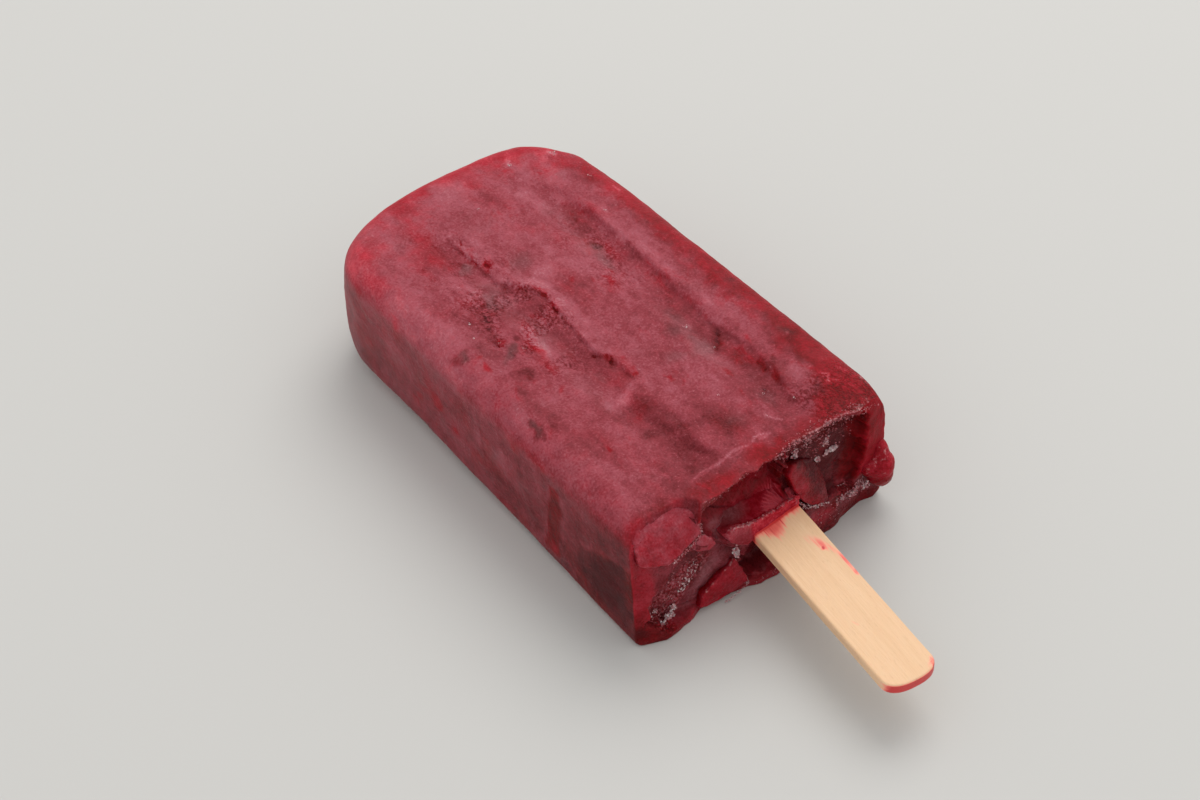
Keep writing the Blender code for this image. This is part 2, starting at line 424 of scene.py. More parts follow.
# How far the +y side stands out, by x, and how far the tip does, by y
OUTLINE_PLUS = (
    (-84, -0.3), (-77, -0.25), (-70, 0.1), (-62, 0.25), (-50, 0.3), (-42, 0.42), (-34, 0.5), (0, 0.5),
)
OUTLINE_TIP = (
    (-22, 0.3), (-17, 0.5), (-10, 0.65), (-3, 0.5), (3.6, 0.4), (10, 0.85), (15.8, 1), (19.5, 0.5),
    (22.5, -0.2),
)


def outline_shift(points, normal):
    """The slight unevenness of the moulded outline: how far each side stands out of its formula."""
    x, y, z = parts(points)
    plus = smooth(0.15, 0.8, normal[..., 1]) * along_table(x, OUTLINE_PLUS)
    tip = smooth(0.15, 0.8, -normal[..., 0]) * along_table(y, OUTLINE_TIP)
    corner = smooth(0.3, 0.75, -normal[..., 0]) * smooth(0.3, 0.75, -normal[..., 1])
    return plus + tip + 0.8 * corner * smooth(3.0, 8.0, z) * smooth(21.0, 13.0, z)


def skin_relief(points, normal):
    """How far the skin stands in or out along its normal, in millimetres."""
    x, y, z = parts(points)
    up = smooth(0.6, 0.95, normal[..., 2])
    down = smooth(0.6, 0.95, -normal[..., 2])
    aside = smooth(0.5, 0.95, np.abs(normal[..., 1]))
    relief = 0.15 * rough(points, (16.0, 9.0, 9.0), 2, 3) + 0.05 * rough(points, 3.1, 3, 5)
    relief += aside * 0.05 * rough(points, (5.0, 3.0, 2.2), 3, 9)
    for number, middle in enumerate(FLUTE_MIDDLES):
        bend = y + 0.9 * rough(points, (12.0, 7.0, 7.0), 2, 20 + number)
        relief -= (up + down) * FLUTE_DEPTH * flute_share(x, bend, middle)
    for line, sharp, width, _, _, drop in FACE_EDGES:
        bend = y + 0.5 * rough(points, 2.6, 3, 27)
        lip = above_line(x, bend, line, sharp, 3.0)
        relief += up * drop * (lip - 1.2 * below_line(x, bend, line, sharp, width))
    crumbly = up * crumbly_share(points) * (1.0 - 0.5 * smooth(-60.0, -66.0, x))
    crumbly *= 1.0 - 0.6 * spot(x, y, *ALMOST_WHOLE)
    crumbs = rough(points, (2.0, 1.5, 1.8), 3, 31)
    relief -= crumbly * (0.08 + 0.34 * smooth(-0.1, 0.5, crumbs))
    relief += outline_shift(points, normal)
    wobble = 0.45 * rough(points, 1.6, 2, 41)
    patchy = smooth(-0.5, 0.3, rough(points, 1.4, 2, 43))
    for cx, cy, radius, depth in PITS:
        relief -= 0.7 * up * depth * spot(x + wobble, y - wobble, (cx, cy), (radius, radius * 0.8), 20.0)
    relief -= 0.26 * up * patchy * lines(x + wobble, y - wobble, CRACKS)
    relief += up * 0.18 * lines(x + wobble, y + wobble, LIPS)
    low = smooth(3.0, 0.6, z) * smooth(-0.2, -0.9, normal[..., 2])
    return relief * (1.0 - low)


# Edges along the broad face, where the skin drops on the -y side: the line's x and y, how sharp it
# is, how wide the painted shade below is, how dark it is, how light the painted highlight on the lip
# above is, and the drop
FACE_EDGES = (
    (((-72.5, 11.8), (-69, 13.9), (-66, 14.9), (-60, 15.1), (-51, 14.9), (-44, 14.6), (-40, 14.2),
      (-35.7, 14), (-28, 14.3)), 1.1, 6, 0.21, 0.1, 0.2),
    (((-31, 14.1), (-26, 14.6), (-21, 14.7), (-17, 14.4), (-14, 13.8), (-10, 12.8), (-6, 12)),
     0.9, 6, 0.22, 0.04, 0.14),
    (((-76, -7.9), (-69.9, -7.3), (-65.4, -7.3), (-61.7, -7.3), (-58.6, -6.2), (-56.2, -4),
      (-51.5, -3.5), (-48.4, -4.1), (-43.7, -4.5), (-38.2, -5.3), (-35.1, -4.4), (-31.7, -3.8),
      (-27.2, -4.4)), 0.6, 5.2, 0.24, 0.16, 0.22),
    (((-26.4, -6.6), (-24.4, -5.9), (-22, -5), (-17.9, -4.1), (-14.8, -3.4), (-13.2, -4.4),
      (-10.3, -5.3), (-7, -4.6), (-2.6, -5.4)), 1.5, 7.2, 0.24, 0, 0.12),
)
# Soft dark runs on the broad face: chain, width, strength
DARK_RUNS = (
    (((-17.2, -10.6), (-16.5, -7.7), (-15.2, -5.4), (-13.6, -2.9), (-12.6, 0.4)), 1.3, 0.2),
    (((-13.6, 0.8), (-11, 1.6), (-8.8, 2.6)), 2.6, 0.22),
    (((-30.2, 13.8), (-28.4, 12.8), (-26.2, 11)), 0.9, 0.26),
    (((-41.2, -20.6), (-41.4, -17.8), (-40.4, -15.8), (-38.8, -16.4)), 1.2, 0.3),
    (((-80.4, 3.2), (-77.8, 4.4), (-75.4, 4.2)), 1.5, 0.14),
    (((-17.6, 16), (-15.8, 14.7), (-12.6, 13.7), (-9.6, 13.1), (-6.6, 12.3)), 0.8, 0.2),
    (((-57.4, -13.2), (-54.8, -14.2), (-52, -15.4)), 1.6, 0.3),
    (((-36.8, -19.6), (-32.6, -20.2), (-27, -19.8)), 1.8, 0.25),
)
# Pits in the broad face: x, y, radius, depth
PITS = (
    (-47.8, -12.9, 1.4, 0.8), (-48.6, -16.4, 1.3, 0.6), (-44.3, -13.6, 1, 0.4), (-55.3, -17, 0.8, 0.35),
    (-13.4, 10.5, 0.7, 0.35), (-65.4, -6.5, 1.3, 0.5), (-68.5, -6.6, 1.5, 0.3), (-39, -18, 2.2, 0.2),
    (-10.5, -8, 4, 0.3), (-21, -8, 4, 0.25), (-53, -9, 2.6, 0.3), (-72, -2, 7, -0.15),
)
# Cracks in the broad face, and soft pale lips beside them: chain of x and y, width, strength
CRACKS = (
    (((-76, -5.6), (-73, -6.6), (-71.4, -7.6), (-69, -7.6), (-66.4, -7.7)), 0.6, 0.4),
    (((-66.4, -6.6), (-65.2, -6.2), (-64.4, -7)), 0.8, 0.45),
    (((-61.6, -8), (-60, -7.6), (-58.6, -6.4), (-57, -5.6), (-55.4, -5.4), (-54.6, -6.2)), 0.8, 0.36),
    (((-53.4, -3.2), (-52.2, -3.9), (-51, -3.4)), 0.6, 0.3),
    (((-44.5, 14.6), (-41, 14.9), (-38, 14.4), (-35.5, 14.8), (-32, 13.9)), 0.6, 0.28),
    (((-48.8, -12), (-47.6, -11.6), (-46.6, -12.6), (-45, -12.9), (-42.6, -12.4), (-40.4, -11.9)),
     0.6, 0.34),
    (((-49.6, -15.9), (-48.4, -16.7), (-47.4, -16)), 0.7, 0.45),
    (((-41.4, -15.8), (-39.8, -16.4), (-40.6, -17.6), (-39.4, -18.8)), 0.7, 0.3),
    (((-62, -7.6), (-59.5, -6.9), (-57, -5.4), (-55.5, -4.9)), 0.8, 0.35),
    (((-55, -4), (-52, -3.2), (-50, -4.2), (-47.5, -4.6), (-45, -4.4), (-41.6, -4.4)), 0.7, 0.5),
    (((-37, -5.8), (-35.6, -4.4), (-34.2, -3.8), (-33.2, -4.6)), 0.75, 0.5),
    (((-33.2, -2.6), (-31.4, -3.1), (-30, -2.8)), 0.6, 0.35),
    (((-30.8, 13.8), (-28.6, 13.2), (-27, 11.8), (-25.4, 10.4)), 0.6, 0.42),
    (((-17.9, 16.2), (-16.2, 14.7), (-13.5, 13.8), (-10.5, 13.4), (-7.6, 13.3)), 0.65, 0.38),
    (((-18.6, 13.6), (-17.4, 13.4), (-16.8, 13.7)), 0.8, 0.42),
    (((-34.5, -13), (-33, -14.1), (-31.5, -15)), 0.5, 0.25),
    (((-38.5, -10.6), (-36.4, -9.3), (-35.2, -8.9)), 0.6, 0.25),
    (((-16.6, -9.8), (-15.9, -7.4), (-14.6, -4.6)), 0.9, 0.25),
    # The last two are painted shadow beside the pale pair by the rim
    (((-4.9, 4.8), (-5.4, 3), (-5, 1.5)), 0.35, 0.12),
    (((-5, 0), (-5.3, -2), (-4.9, -4.5), (-5.1, -7.5), (-4.8, -10)), 0.35, 0.12),
)
LIPS = (
    (((-76.2, 8), (-74, 7.9), (-71.8, 8.8), (-70.4, 10.4)), 1.2, 0.8),
    (((-59.5, -4.2), (-57, -3.4), (-54.5, -2.2)), 2, 0.9),
    (((-27.2, -4.4), (-26, -7), (-24.6, -10.2)), 1.6, 0.9),
    (((-49.5, -10.6), (-46, -9.8), (-42, -10.4), (-40, -11.6)), 1.6, 0.8),
    (((-61, 3), (-59, 0.5), (-58.6, -2.6), (-61, -5)), 1.2, 0.4),
)


# ---------------------------------------------------------------- the skin's colour fields
# tone runs from -1, clear dark ice, to 1, pale frosted ice. red is how bright and clear a red the
# ice is, and grey how cloudy. Each mark on the broad face is x, y, long radius, short radius, turn
# in degrees, strength.
FACE_TONE = (
    # the raised strip along the +y side, and the pale smear at its tip end
    (-54, 16.4, 10, 2, 0, 0.24), (-32.5, 16.8, 7.5, 2.6, 0, 0.26), (-41, 17.2, 7, 2.2, 0, 0.18),
    (-24, 17.6, 6, 2, -4, 0.12), (-66, 16.4, 5, 1.6, 4, 0.2), (-77, 15.4, 7, 3, -12, 0.42),
    (-74.8, 9.4, 5.4, 2.4, 14, 0.4), (-79.5, 12.2, 4, 2, -20, 0.22), (-13.4, 17, 3.6, 2.2, -24, 0.95),
    # the dark run of the first flute, partly the ice's own tone and partly painted shade where the flute's
    # wall faces away from the light
    (-64, 12.6, 6, 2, 0, -0.2), (-36.2, 10.8, 3, 2.6, -40, -0.16), (-50, 9.8, 4, 1.6, 0, -0.14),
    (-33.4, 7.2, 3.4, 1.5, 0, -0.22), (-21, 12.2, 5, 1.8, 0, -0.34), (-38, 16, 6, 1.4, 0, 0.2),
    (-13, 11.2, 4, 2.2, 0, -0.05), (-30, 14.8, 4, 1.4, 0, 0.24), (-13.6, 17, 2.4, 2, -24, 0.4),
    (-28, 9.8, 3.4, 2.2, 0, 0.3), (-84, 12.6, 3.4, 3.4, 0, 0.5), (-83, -5, 4, 5, 0, 0.26),
    (-72.6, -4, 4.4, 2.6, 0, 0.44), (-62.4, -8.4, 3, 1.8, 0, 0.5), (-55, -12.4, 7, 2.4, 0, -0.34),
    (-47, -17, 5.4, 3.4, 0, -0.3), (-18.4, 3.6, 5, 3.2, 0, 0.3), (-13, 6, 3, 2, 0, 0.3),
    (-6.4, 18, 5, 3.6, 0, -0.3), (-46, -23.4, 6, 2, 0, -0.2), (-66, -25, 9, 2, 0, 0.34),
    # the middle
    (-70.6, 1.8, 9, 4.8, 0, 0.2), (-63.2, -1.2, 3.4, 4.4, 0, -0.2), (-58.2, 1.2, 2.4, 4.4, 8, 0.3),
    (-84.5, -1.5, 2.6, 9, 0, 0.14), (-78.4, 3.8, 4.6, 1.6, 12, -0.2), (-76.6, 7.6, 3.4, 1.1, -8, -0.16),
    (-84, 3.6, 2.6, 2.4, 0, -0.2), (-48, -1.9, 6.5, 1.7, -2, 0.62), (-41, -1.6, 6, 1.8, 0, 0.22),
    (-57, -3.4, 5, 1.5, 32, 0.3), (-55, 5.6, 4, 2.4, 0, 0.18), (-44, 6.8, 5, 1.6, 0, 0.26),
    (-38, 4, 6, 3, 0, 0.12), (-53, 1.6, 3.4, 2.4, 0, -0.24), (-47, 2.6, 5, 3, 0, -0.12),
    (-30.4, 3.8, 1.8, 2.8, 0, -0.28), (-28.6, 1.6, 1.2, 1.2, 0, -0.35), (-27, 3.4, 2.4, 4.6, 0, 0.28),
    (-27.4, 8.4, 3.6, 3, 0, 0.24), (-23.4, 4.6, 4, 3.6, 0, 0.44), (-17.5, 4.2, 6.5, 2.6, 0, 0.28),
    (-10.6, 1.8, 4.4, 3.4, 0, -0.5), (-12.6, -0.4, 3, 1.6, 30, -0.3), (-8.6, 7.6, 3.6, 2.2, 0, 0.24),
    (-21, -1.6, 6, 2, 0, 0.18), (-34, 0.4, 5, 2, 0, 0.12), (-12, -2.8, 4, 1.6, -20, 0.16),
    # the rough run of the second flute
    (-65.3, -7, 1.5, 1, 0, -0.4), (-74.5, -9.8, 6, 2.8, -8, -0.18), (-69.6, -9.6, 6, 3.4, 0, -0.22),
    (-69, -12.4, 5.4, 2.4, -6, -0.16), (-53, -7.8, 3.4, 3.8, -18, -0.52),
    (-56, -10.6, 3.4, 2.4, 24, -0.55), (-58.8, -8, 4, 1.8, 32, -0.3), (-58.4, -14.6, 3.4, 1.9, 0, -0.36),
    (-54.6, -13.6, 2.2, 2, 0, -0.3), (-62, -14.8, 2, 1.2, 0, -0.3), (-52, -6.6, 4, 2, -2, -0.16),
    (-30.6, -8.6, 4, 3, 0, -0.1), (-18, -7.4, 5, 3, 0, 0.06), (-12, -7.8, 5, 3, 0, -0.14),
    (-27, -2.6, 5, 1.8, 0, 0.24), (-52, -17.2, 9, 3.2, 0, -0.26), (-5.6, -6.6, 1.8, 3, 0, 0.2),
    (-44.6, -10.8, 5.2, 1.4, -4, 0.8), (-50.2, -11.4, 2.2, 1.3, 0, 0.45),
    (-26.4, -8.4, 1.5, 4.4, 8, 0.62), (-25, -10.6, 3.6, 1.6, 0, 0.3), (-66.4, -12.8, 3.4, 1.4, -34, 0.22),
    (-62.4, -11.8, 4.4, 1.6, 48, 0.28), (-67.4, -9, 2.4, 1.2, -16, 0.3), (-58.6, -11.2, 2.4, 1, 0, 0.26),
    (-81, -9, 4, 4, 0, 0.1),
    # the -y shoulder
    (-30, -13.6, 8, 3, 0, 0.26), (-20.5, -13.6, 8, 3, 0, 0.22), (-11, -14.6, 6, 3, 0, 0.2),
    (-39.6, -17.6, 3, 3.4, 20, -0.4), (-37.4, -19.6, 2, 1.4, 0, -0.3), (-42, -14.2, 4, 1.6, 10, 0.26),
    (-50, -22.4, 1.8, 1.7, -30, -2.2), (-28.5, -22.5, 2.4, 1.4, -10, -3.4),
    (-58.2, 11.1, 1.3, 1.2, 0, -0.6), (-58, 11, 2.2, 2, 0, 0.22), (-47.6, -12.8, 1, 0.9, 0, -0.95),
    (-45.4, -15.6, 1.5, 3.4, 34, -1.1), (-60, -22, 10, 3, 0, 0.32), (-48, -24, 7, 2, 0, 0.2),
    (-67, -22.6, 4, 1.8, 0, 0.24), (-30, -20.4, 8, 1.6, 4, -0.22), (-11, -20, 9, 2.6, 0, 0.18),
    (-3.4, -19.4, 1.6, 7, 0, -0.35), (-5.6, -14.6, 2.6, 2, 0, -0.3), (-43, -25.4, 12, 1.8, 0, -0.22),
    (-20, -17.6, 8, 1.8, 0, 0.12), (-72, -17, 6, 3, -20, 0.1), (-55.5, -19, 5, 2, 0, 0.16),
    # the deep clear patches of the +y edge
    (-72.2, 20.2, 3.6, 2.4, 0, -0.55), (-80.4, 17.6, 2.2, 1.4, 0, -0.5), (-57, 19.8, 9, 1.5, 0, -0.34),
    (-38, 20.6, 10, 1.4, 0, -0.28), (-21.2, 22, 1.6, 1.2, 0, -0.85), (-17, 20.4, 5, 1.6, -14, -0.45),
    (-8, 16.6, 3.4, 3, 0, -0.25), (-3.4, 16.8, 3.4, 5, 0, -0.3), (-30, 21.6, 4.6, 1.8, 0, 0.26),
    (-60, 21.2, 7, 1.4, 0, -0.2), (-81.6, 17.6, 3, 2.4, 0, 0.34),
)
FACE_RED = (
    (-86.2, 13.6, 3.4, 3.4, 0, 0.7), (-20, 8.5, 1.4, 0.6, -20, 0.9), (-15, 7.5, 1.6, 0.6, -12, 0.7),
    (-50, 6.9, 2.8, 0.5, 4, 0.5), (-54, 2.2, 0.9, 0.8, 0, 0.6), (-74, -13, 12, 6, -8, 0.35),
    (-51.4, 4.8, 1.2, 0.8, 0, 0.7), (-84.4, 4, 3.2, 2.6, 0, 0.2), (-18.5, -16.2, 1.2, 0.8, 0, 1),
    (-44.8, -20.6, 1.4, 0.9, 0, 1), (-48.2, -20, 1.4, 1, 0, 0.8), (-29, -3.7, 1, 0.8, 0, 1),
    (-22, 1.4, 0.8, 0.6, 0, 0.8), (-24.2, 0, 1.6, 0.5, 4, 0.8), (-33, -14.2, 2, 0.8, -34, 0.8),
    (-80, -20.6, 6, 3, 24, 0.18), (-74, -22.6, 6, 2.6, 6, 0.2), (-44, -11.8, 4.4, 0.9, 12, 0.8),
    (-48.6, -15.6, 1.4, 1.2, 0, 0.8), (-65.3, -6.5, 1.6, 1.2, 0, 0.6), (-2.4, 1.4, 2.4, 4, 0, 0.34),
    (-1.4, -6.2, 2, 4, 0, 0.34), (-2.6, 5.4, 1.6, 1.4, 0, 0.4), (-9, 20.6, 9, 4, 0, 0.9),
    (-4, 16.6, 4.4, 4.6, 0, 0.8), (-17.4, 13.6, 1.4, 0.8, -16, 0.8), (-13.2, 13.7, 5, 0.8, -8, 0.5),
    (-27.4, 12.4, 3, 0.7, -40, 0.5), (-35.2, -4.6, 2.2, 0.6, 30, 0.4), (-24, 15.6, 2, 0.9, 0, 0.7),
    (-21, 12.6, 5, 1.8, 0, 0.2), (-55, -3.6, 3, 1, 20, 0.6), (-70, -15.4, 5, 2, 0, 0.25),
    (-76.6, -11, 3.4, 2, 0, 0.2), (-33, -9, 3, 1, 16, 0.4),
)
FACE_GREY = (
    (-49.8, -22.2, 1.9, 1.8, 0, 0.9), (-28.5, -22.5, 2.4, 1.3, -14, 0.9), (-58.2, 11.1, 1.4, 1.3, 0, 0.7),
    (-45.6, -15.6, 2, 3.8, 34, 1), (-67.4, -9.1, 2.6, 1.6, -16, 1), (-58.6, -11.2, 3, 1.6, 0, 0.8),
    (-60, 9.4, 16, 3.2, 0, 0.5), (-30, 9, 20, 3.6, 0, 0.55), (-56, -10, 16, 4, 0, 0.45),
    (-30, -11, 18, 3, 0, 0.35), (-46, -8.4, 8, 2.4, 0, 0.35), (-50, -18.4, 12, 3, 0, 0.3),
    (-12, 10, 5, 2.8, 0, 0.55), (-10.4, 3, 3.6, 3.6, 0, 0.45), (-62.6, -1.4, 3.4, 4, 0, 0.4),
    (-27.4, 8.6, 3.6, 3, 0, 0.45), (-27.6, 3.4, 2.4, 3.4, 0, 0.4), (-55, 9.6, 5, 1.6, -10, 0.45),
    (-36, 10.4, 3.4, 3.4, 0, 0.35), (-44, -10.2, 4, 1.2, -8, 0.35), (-76.6, 16.6, 3, 1.4, 0, 0.35),
    (-33, -8, 3.6, 2.6, 0, 0.3), (-22, 21.4, 1.8, 1.4, 0, 0.5), (-17, 11.4, 3, 1.6, 0, 0.3),
)
# Thin white frost lines on the broad face: chain of x and y, width, strength
WHITE_LINES = (
    # The first five, the pale pair by the rim, are frost and a painted highlight
    (((-4.9, 4.8), (-5.5, 3.4), (-5.5, 2.4), (-5.1, 1.6)), 0.42, 0.9),
    (((-4.7, 4.4), (-4.8, 2.8)), 0.32, 0.6),
    (((-4.9, 0.2), (-5.3, -1), (-5.5, -2.4), (-5, -4), (-5, -6.4), (-5.2, -8.4), (-4.8, -10.2)),
     0.4, 0.8),
    (((-4.5, -0.6), (-4.5, -3.4)), 0.3, 0.5),
    (((-4.6, -5.4), (-4.5, -9)), 0.3, 0.45),
    (((-8.6, 6.9), (-7.2, 7.4), (-5.9, 8)), 0.34, 0.8),
    (((-10.4, 19.6), (-9.6, 20.4), (-8.6, 19.4), (-8, 18.9), (-8.2, 19.8), (-7.6, 20.6)), 0.45, 0.8),
    (((-9.8, 22.6), (-9, 23.2), (-8.2, 22.4)), 0.5, 0.7),
    (((-87, 12.9), (-85.4, 12), (-84, 11.2)), 0.5, 0.7),
    (((-82.8, 18.6), (-81.6, 19.2)), 0.7, 0.8),
    (((-68.6, 22), (-67, 22.1)), 0.5, 0.7),
    (((-64.8, 16.7), (-63.4, 16.9)), 0.6, 0.5),
    (((-33.4, 9.6), (-33, 10.5)), 0.6, 0.7),
    (((-21.3, 21.6), (-21, 21.3)), 0.4, 0.9),
)
# Marks on the two long sides: x, z, two radii, turn, strength
SIDE_TONE = (
    (-65, 14, 6, 4.4, 0, 0.3), (-36.5, 14, 4, 5, 10, 0.26), (-63.5, 21, 1.2, 1.4, 0, -0.8),
    (-44, 21, 2, 1.2, -10, -0.7), (-38.5, 19, 1.4, 1.2, 0, -0.7), (-26.5, 22, 2.2, 1.6, 0, -0.9),
    (-41.3, 12, 0.8, 4.6, 6, -0.6), (-30.8, 15.5, 1.2, 4.6, 8, -0.6), (-28, 9, 2.4, 5, 10, -0.35),
    (-25.4, 15, 1.4, 5, 8, 0.5), (-18, 16, 1.6, 3.4, 0, 0.35), (-36, 12.5, 3.4, 4, 0, 0.3),
    (-62, 21.5, 18, 3, 0, 0.55), (-36, 8, 9, 4, 0, -0.46), (-71, 9, 5, 3, 0, -0.4),
    (-9, 7, 11, 7, 0, -0.5), (-51, 6, 9, 3, 0, -0.32), (-78, 9, 3, 6, 0, -0.2), (-56, 18, 6, 3, 0, 0.16),
    (-12, 19.5, 8, 2.4, 0, 0.18), (-47, 15, 3, 3.4, 20, -0.25), (-33.5, 7, 4, 4, 0, -0.25),
    (-26, 10, 2.2, 5, 14, 0.16), (-82, 14, 3.4, 5, 0, 0.14),
)
SIDE_RED = (
    (-54.4, 12, 2.2, 2.4, 0, 1.1), (-49.4, 9.4, 1.4, 1.2, 0, 0.8), (-60, 9.5, 1.4, 1.2, 0, 0.5),
    (-21.9, 4.8, 1.6, 1.8, 0, 2), (-66, 21, 1.6, 2.4, 0, 0.5), (-32, 19, 1.6, 1.4, 0, 0.5),
    (-14, 4, 2.4, 1.6, 0, 0.7), (-10, 2.4, 8, 1.8, 0, 0.6), (-86, 12, 4, 9, 0, 0.5),
    (-2, 12, 1.6, 9, 0, 0.6), (-36, 3, 4, 1.6, 0, 0.4),
)

FAR_SIDE_SHIFT = 9.0          # how far the same marks are moved towards the end on the +y side
# The dark wedge in the -y side, in x and z (anticlockwise), the upper edge of the clear ice beside
# it, and the pale lines along both
SIDE_WEDGE = ((-24.3, 3.4), (-21, 3.4), (-20.2, 9), (-19.6, 14.2), (-20, 18.6), (-22.3, 18.8))
SIDE_CLEAR_EDGE = ((-17.5, 9.6), (-13, 12.2), (-8, 14.2), (-3, 16), (1, 17.4))
SIDE_LINES = (
    (((-13.6, 12), (-8, 14.4), (-3, 16.2), (1, 17.6)), 0.9, 1),
    (((-22.6, 18.6), (-23.6, 12), (-24.6, 5)), 0.8, 0.8),
    (((-19.2, 18), (-18.6, 14.4), (-19.6, 9)), 0.8, 0.6),
    (((-43, 19), (-42.4, 12)), 0.8, 0.5),
)


def edge_distance(points):
    """How far a point on the broad face is in from the bar's outline seen from above."""
    x, y, _ = parts(points)
    half_width, _, _ = bar_sizes(x)
    k = np.clip((TURN_X - x) / TIP_TURN, 0.0, 1.0)
    s = np.abs(y) / half_width
    size = (k ** TIP_POWER + s ** TIP_POWER) ** (1 / TIP_POWER)
    return np.where(k > 0, (1.0 - size) * TIP_TURN, half_width - np.abs(y))


def skin_fields(points, normal):
    """The seven fields of the moulded skin, from its marks and from noise.

    They are tone, red, grey, frost, crumb (how crumbly), wet and crack (how near to a crack). up,
    down, left, right and aside say which way the skin faces. wx and wy are x and y with some noise
    added, which makes the marks ragged.
    """
    x, y, z = parts(points)
    up = smooth(0.1, 0.62, normal[..., 2])
    down = smooth(0.35, 0.8, -normal[..., 2])
    left = smooth(0.3, 0.8, -normal[..., 1])
    right = smooth(0.3, 0.8, normal[..., 1])
    aside = 1.0 - up
    inset = edge_distance(points)
    push_x = 1.0 * rough(points, 3.4, 3, 101) + 0.25 * noise(points, 0.9, 111)
    push_y = 0.8 * rough(points, 3.4, 3, 105) + 0.25 * noise(points, 0.9, 115)
    wx, wy = x + push_x, y + push_y

    # tone of the broad face
    broad = rough(points, (9.0, 5.0, 5.0), 4, 121)
    streaky = rough(points, (6.0, 6.0, 1.6), 3, 131)
    marks = spots(wx, wy, FACE_TONE)
    fine = rough(points, (2.6, 1.8, 1.8), 3, 125)
    marks /= 1.0 + 0.8 * np.abs(marks)
    calm = 1.0 - 0.7 * spot(x, y, (-70.5, 1.8), (10.0, 6.0))
    calm -= 0.4 * spot(x, y, (-20.0, -14.0), (20.0, 5.0))
    face = 0.95 * marks + 0.22 * broad + 0.15 * fine * calm + 0.17
    edge_x, edge_y = x, 0.3 * wy + 0.7 * y + 0.25 * rough(points, 1.5, 3, 199)
    # Painted shade in the run below each drop, where its wall faces away from the light, and painted light
    # on the lip above it
    for line, sharp, width, dark, light, _ in FACE_EDGES:
        face -= dark * below_line(edge_x, edge_y, line, sharp, width)
        face -= 0.35 * dark * below_line(edge_x, edge_y, line, sharp, 1.6)
        face += light * above_line(edge_x, edge_y, line, sharp, 3.4)
    face -= lines(0.6 * wx + 0.4 * x, 0.6 * wy + 0.4 * y, DARK_RUNS)
    left_shoulder = smooth(-18.5, -23.5, y + 0.4 * push_y)
    face += 0.34 * left_shoulder
    face -= 0.26 * smooth(-64.0, -4.0, x) + 0.16 * smooth(-6.0, -1.0, x + push_x)
    face += lines(wx * 0.5 + x * 0.5, wy * 0.5 + y * 0.5, LIPS) * 0.24
    # Painted shade in the flutes
    for middle in FLUTE_MIDDLES:
        face -= 0.02 * flute_share(x, wy, middle)

    # tone of the long sides, the tip and the face that the bar lies on
    slant = points @ np.array([[1.0, 0.0, 0.3], [0.0, 1.0, 0.0], [-0.45, 0.0, 1.0]])
    side_streaks = rough(slant, (1.7, 9.0, 9.0), 3, 141)
    # Painted light and shade on the sides: lighter towards the top, and in a pale band along the -y side's
    # upper edge
    flank = 0.1 * smooth(4.0, 20.0, z) - 0.16 + 0.17 * broad + 0.1 * side_streaks + 0.08 * fine
    flank += 0.44 * left * smooth(17.0, 23.5, z + push_y)
    side_x, side_z = x + 0.35 * push_x, z + 0.35 * push_y
    far_x = side_x - FAR_SIDE_SHIFT
    sides = left * spots(side_x, side_z, SIDE_TONE) + right * spots(far_x, side_z, SIDE_TONE)
    # The fall in tone towards the stick end is painted shade
    flank += 0.5 * sides - 0.36 * smooth(-46.0, -6.0, x)
    wedge = left * within(side_x, side_z, SIDE_WEDGE, 0.6)
    clear = left * below_line(side_x, side_z, SIDE_CLEAR_EDGE, 0.8, 14.0)
    flank += 0.3 * left * lines(side_x, side_z, SIDE_LINES) - 0.24 * wedge - 0.3 * clear
    rest = -0.15 + 0.42 * rough(points, (10.0, 7.0, 7.0), 4, 151)
    # Painted shade in the flutes on the face the bar lies on
    for middle in FLUTE_MIDDLES:
        rest -= 0.45 * flute_share(x, wy, middle)
    tone = up * face + aside * (1.0 - down) * flank + down * rest

    # red, with the tone that goes with it
    side_red = left * aside * spots(side_x, side_z, SIDE_RED)
    red = up * spots(wx, wy, FACE_RED) + side_red + 0.25 * left * aside * smooth(19.0, 23.0, z + push_y)
    tone += 0.25 * side_red
    red += aside * (0.6 * wedge + 0.2 * clear + 0.7 * right * spots(far_x, side_z, SIDE_RED))
    veins = 1.0 - smooth(0.02, 0.16, np.abs(rough(points, (3.6, 2.6, 3.0), 3, 161)))
    red += 0.3 * veins * smooth(0.0, 0.5, rough(points, 8.0, 2, 171)) * (up + 0.6 * down)
    # Painted light: the tip's rounded rim catches the light and shows as brighter, redder ice
    rim_glow = smooth(4.4, 0.6, inset + 1.4 * push_x)
    tip_rim_glow = np.maximum(0.25 * rim_glow, 0.72 * smooth(11.0, 0.5, inset + 1.5 * push_x))
    tip_rim_glow *= smooth(-66.0, -84.0, x)
    tip_rim_glow *= 0.5 + 0.5 * smooth(-22.0, -6.0, y)
    plus_red = smooth(17.4, 22.4, y + 1.6 * push_y)
    red += up * np.maximum(tip_rim_glow, 0.8 * plus_red) + 0.06 + 0.16 * left_shoulder
    red += 0.12 * left_shoulder * smooth(-56.0, -70.0, x)
    tone += up * 0.42 * tip_rim_glow
    red += 0.5 * up * smooth(-6.4, -1.6, x + push_x) + 0.15 * up * fine
    red += 0.34 * up * (1.0 - left_shoulder) * rough(points, (8.0, 4.5, 4.5), 3, 127)
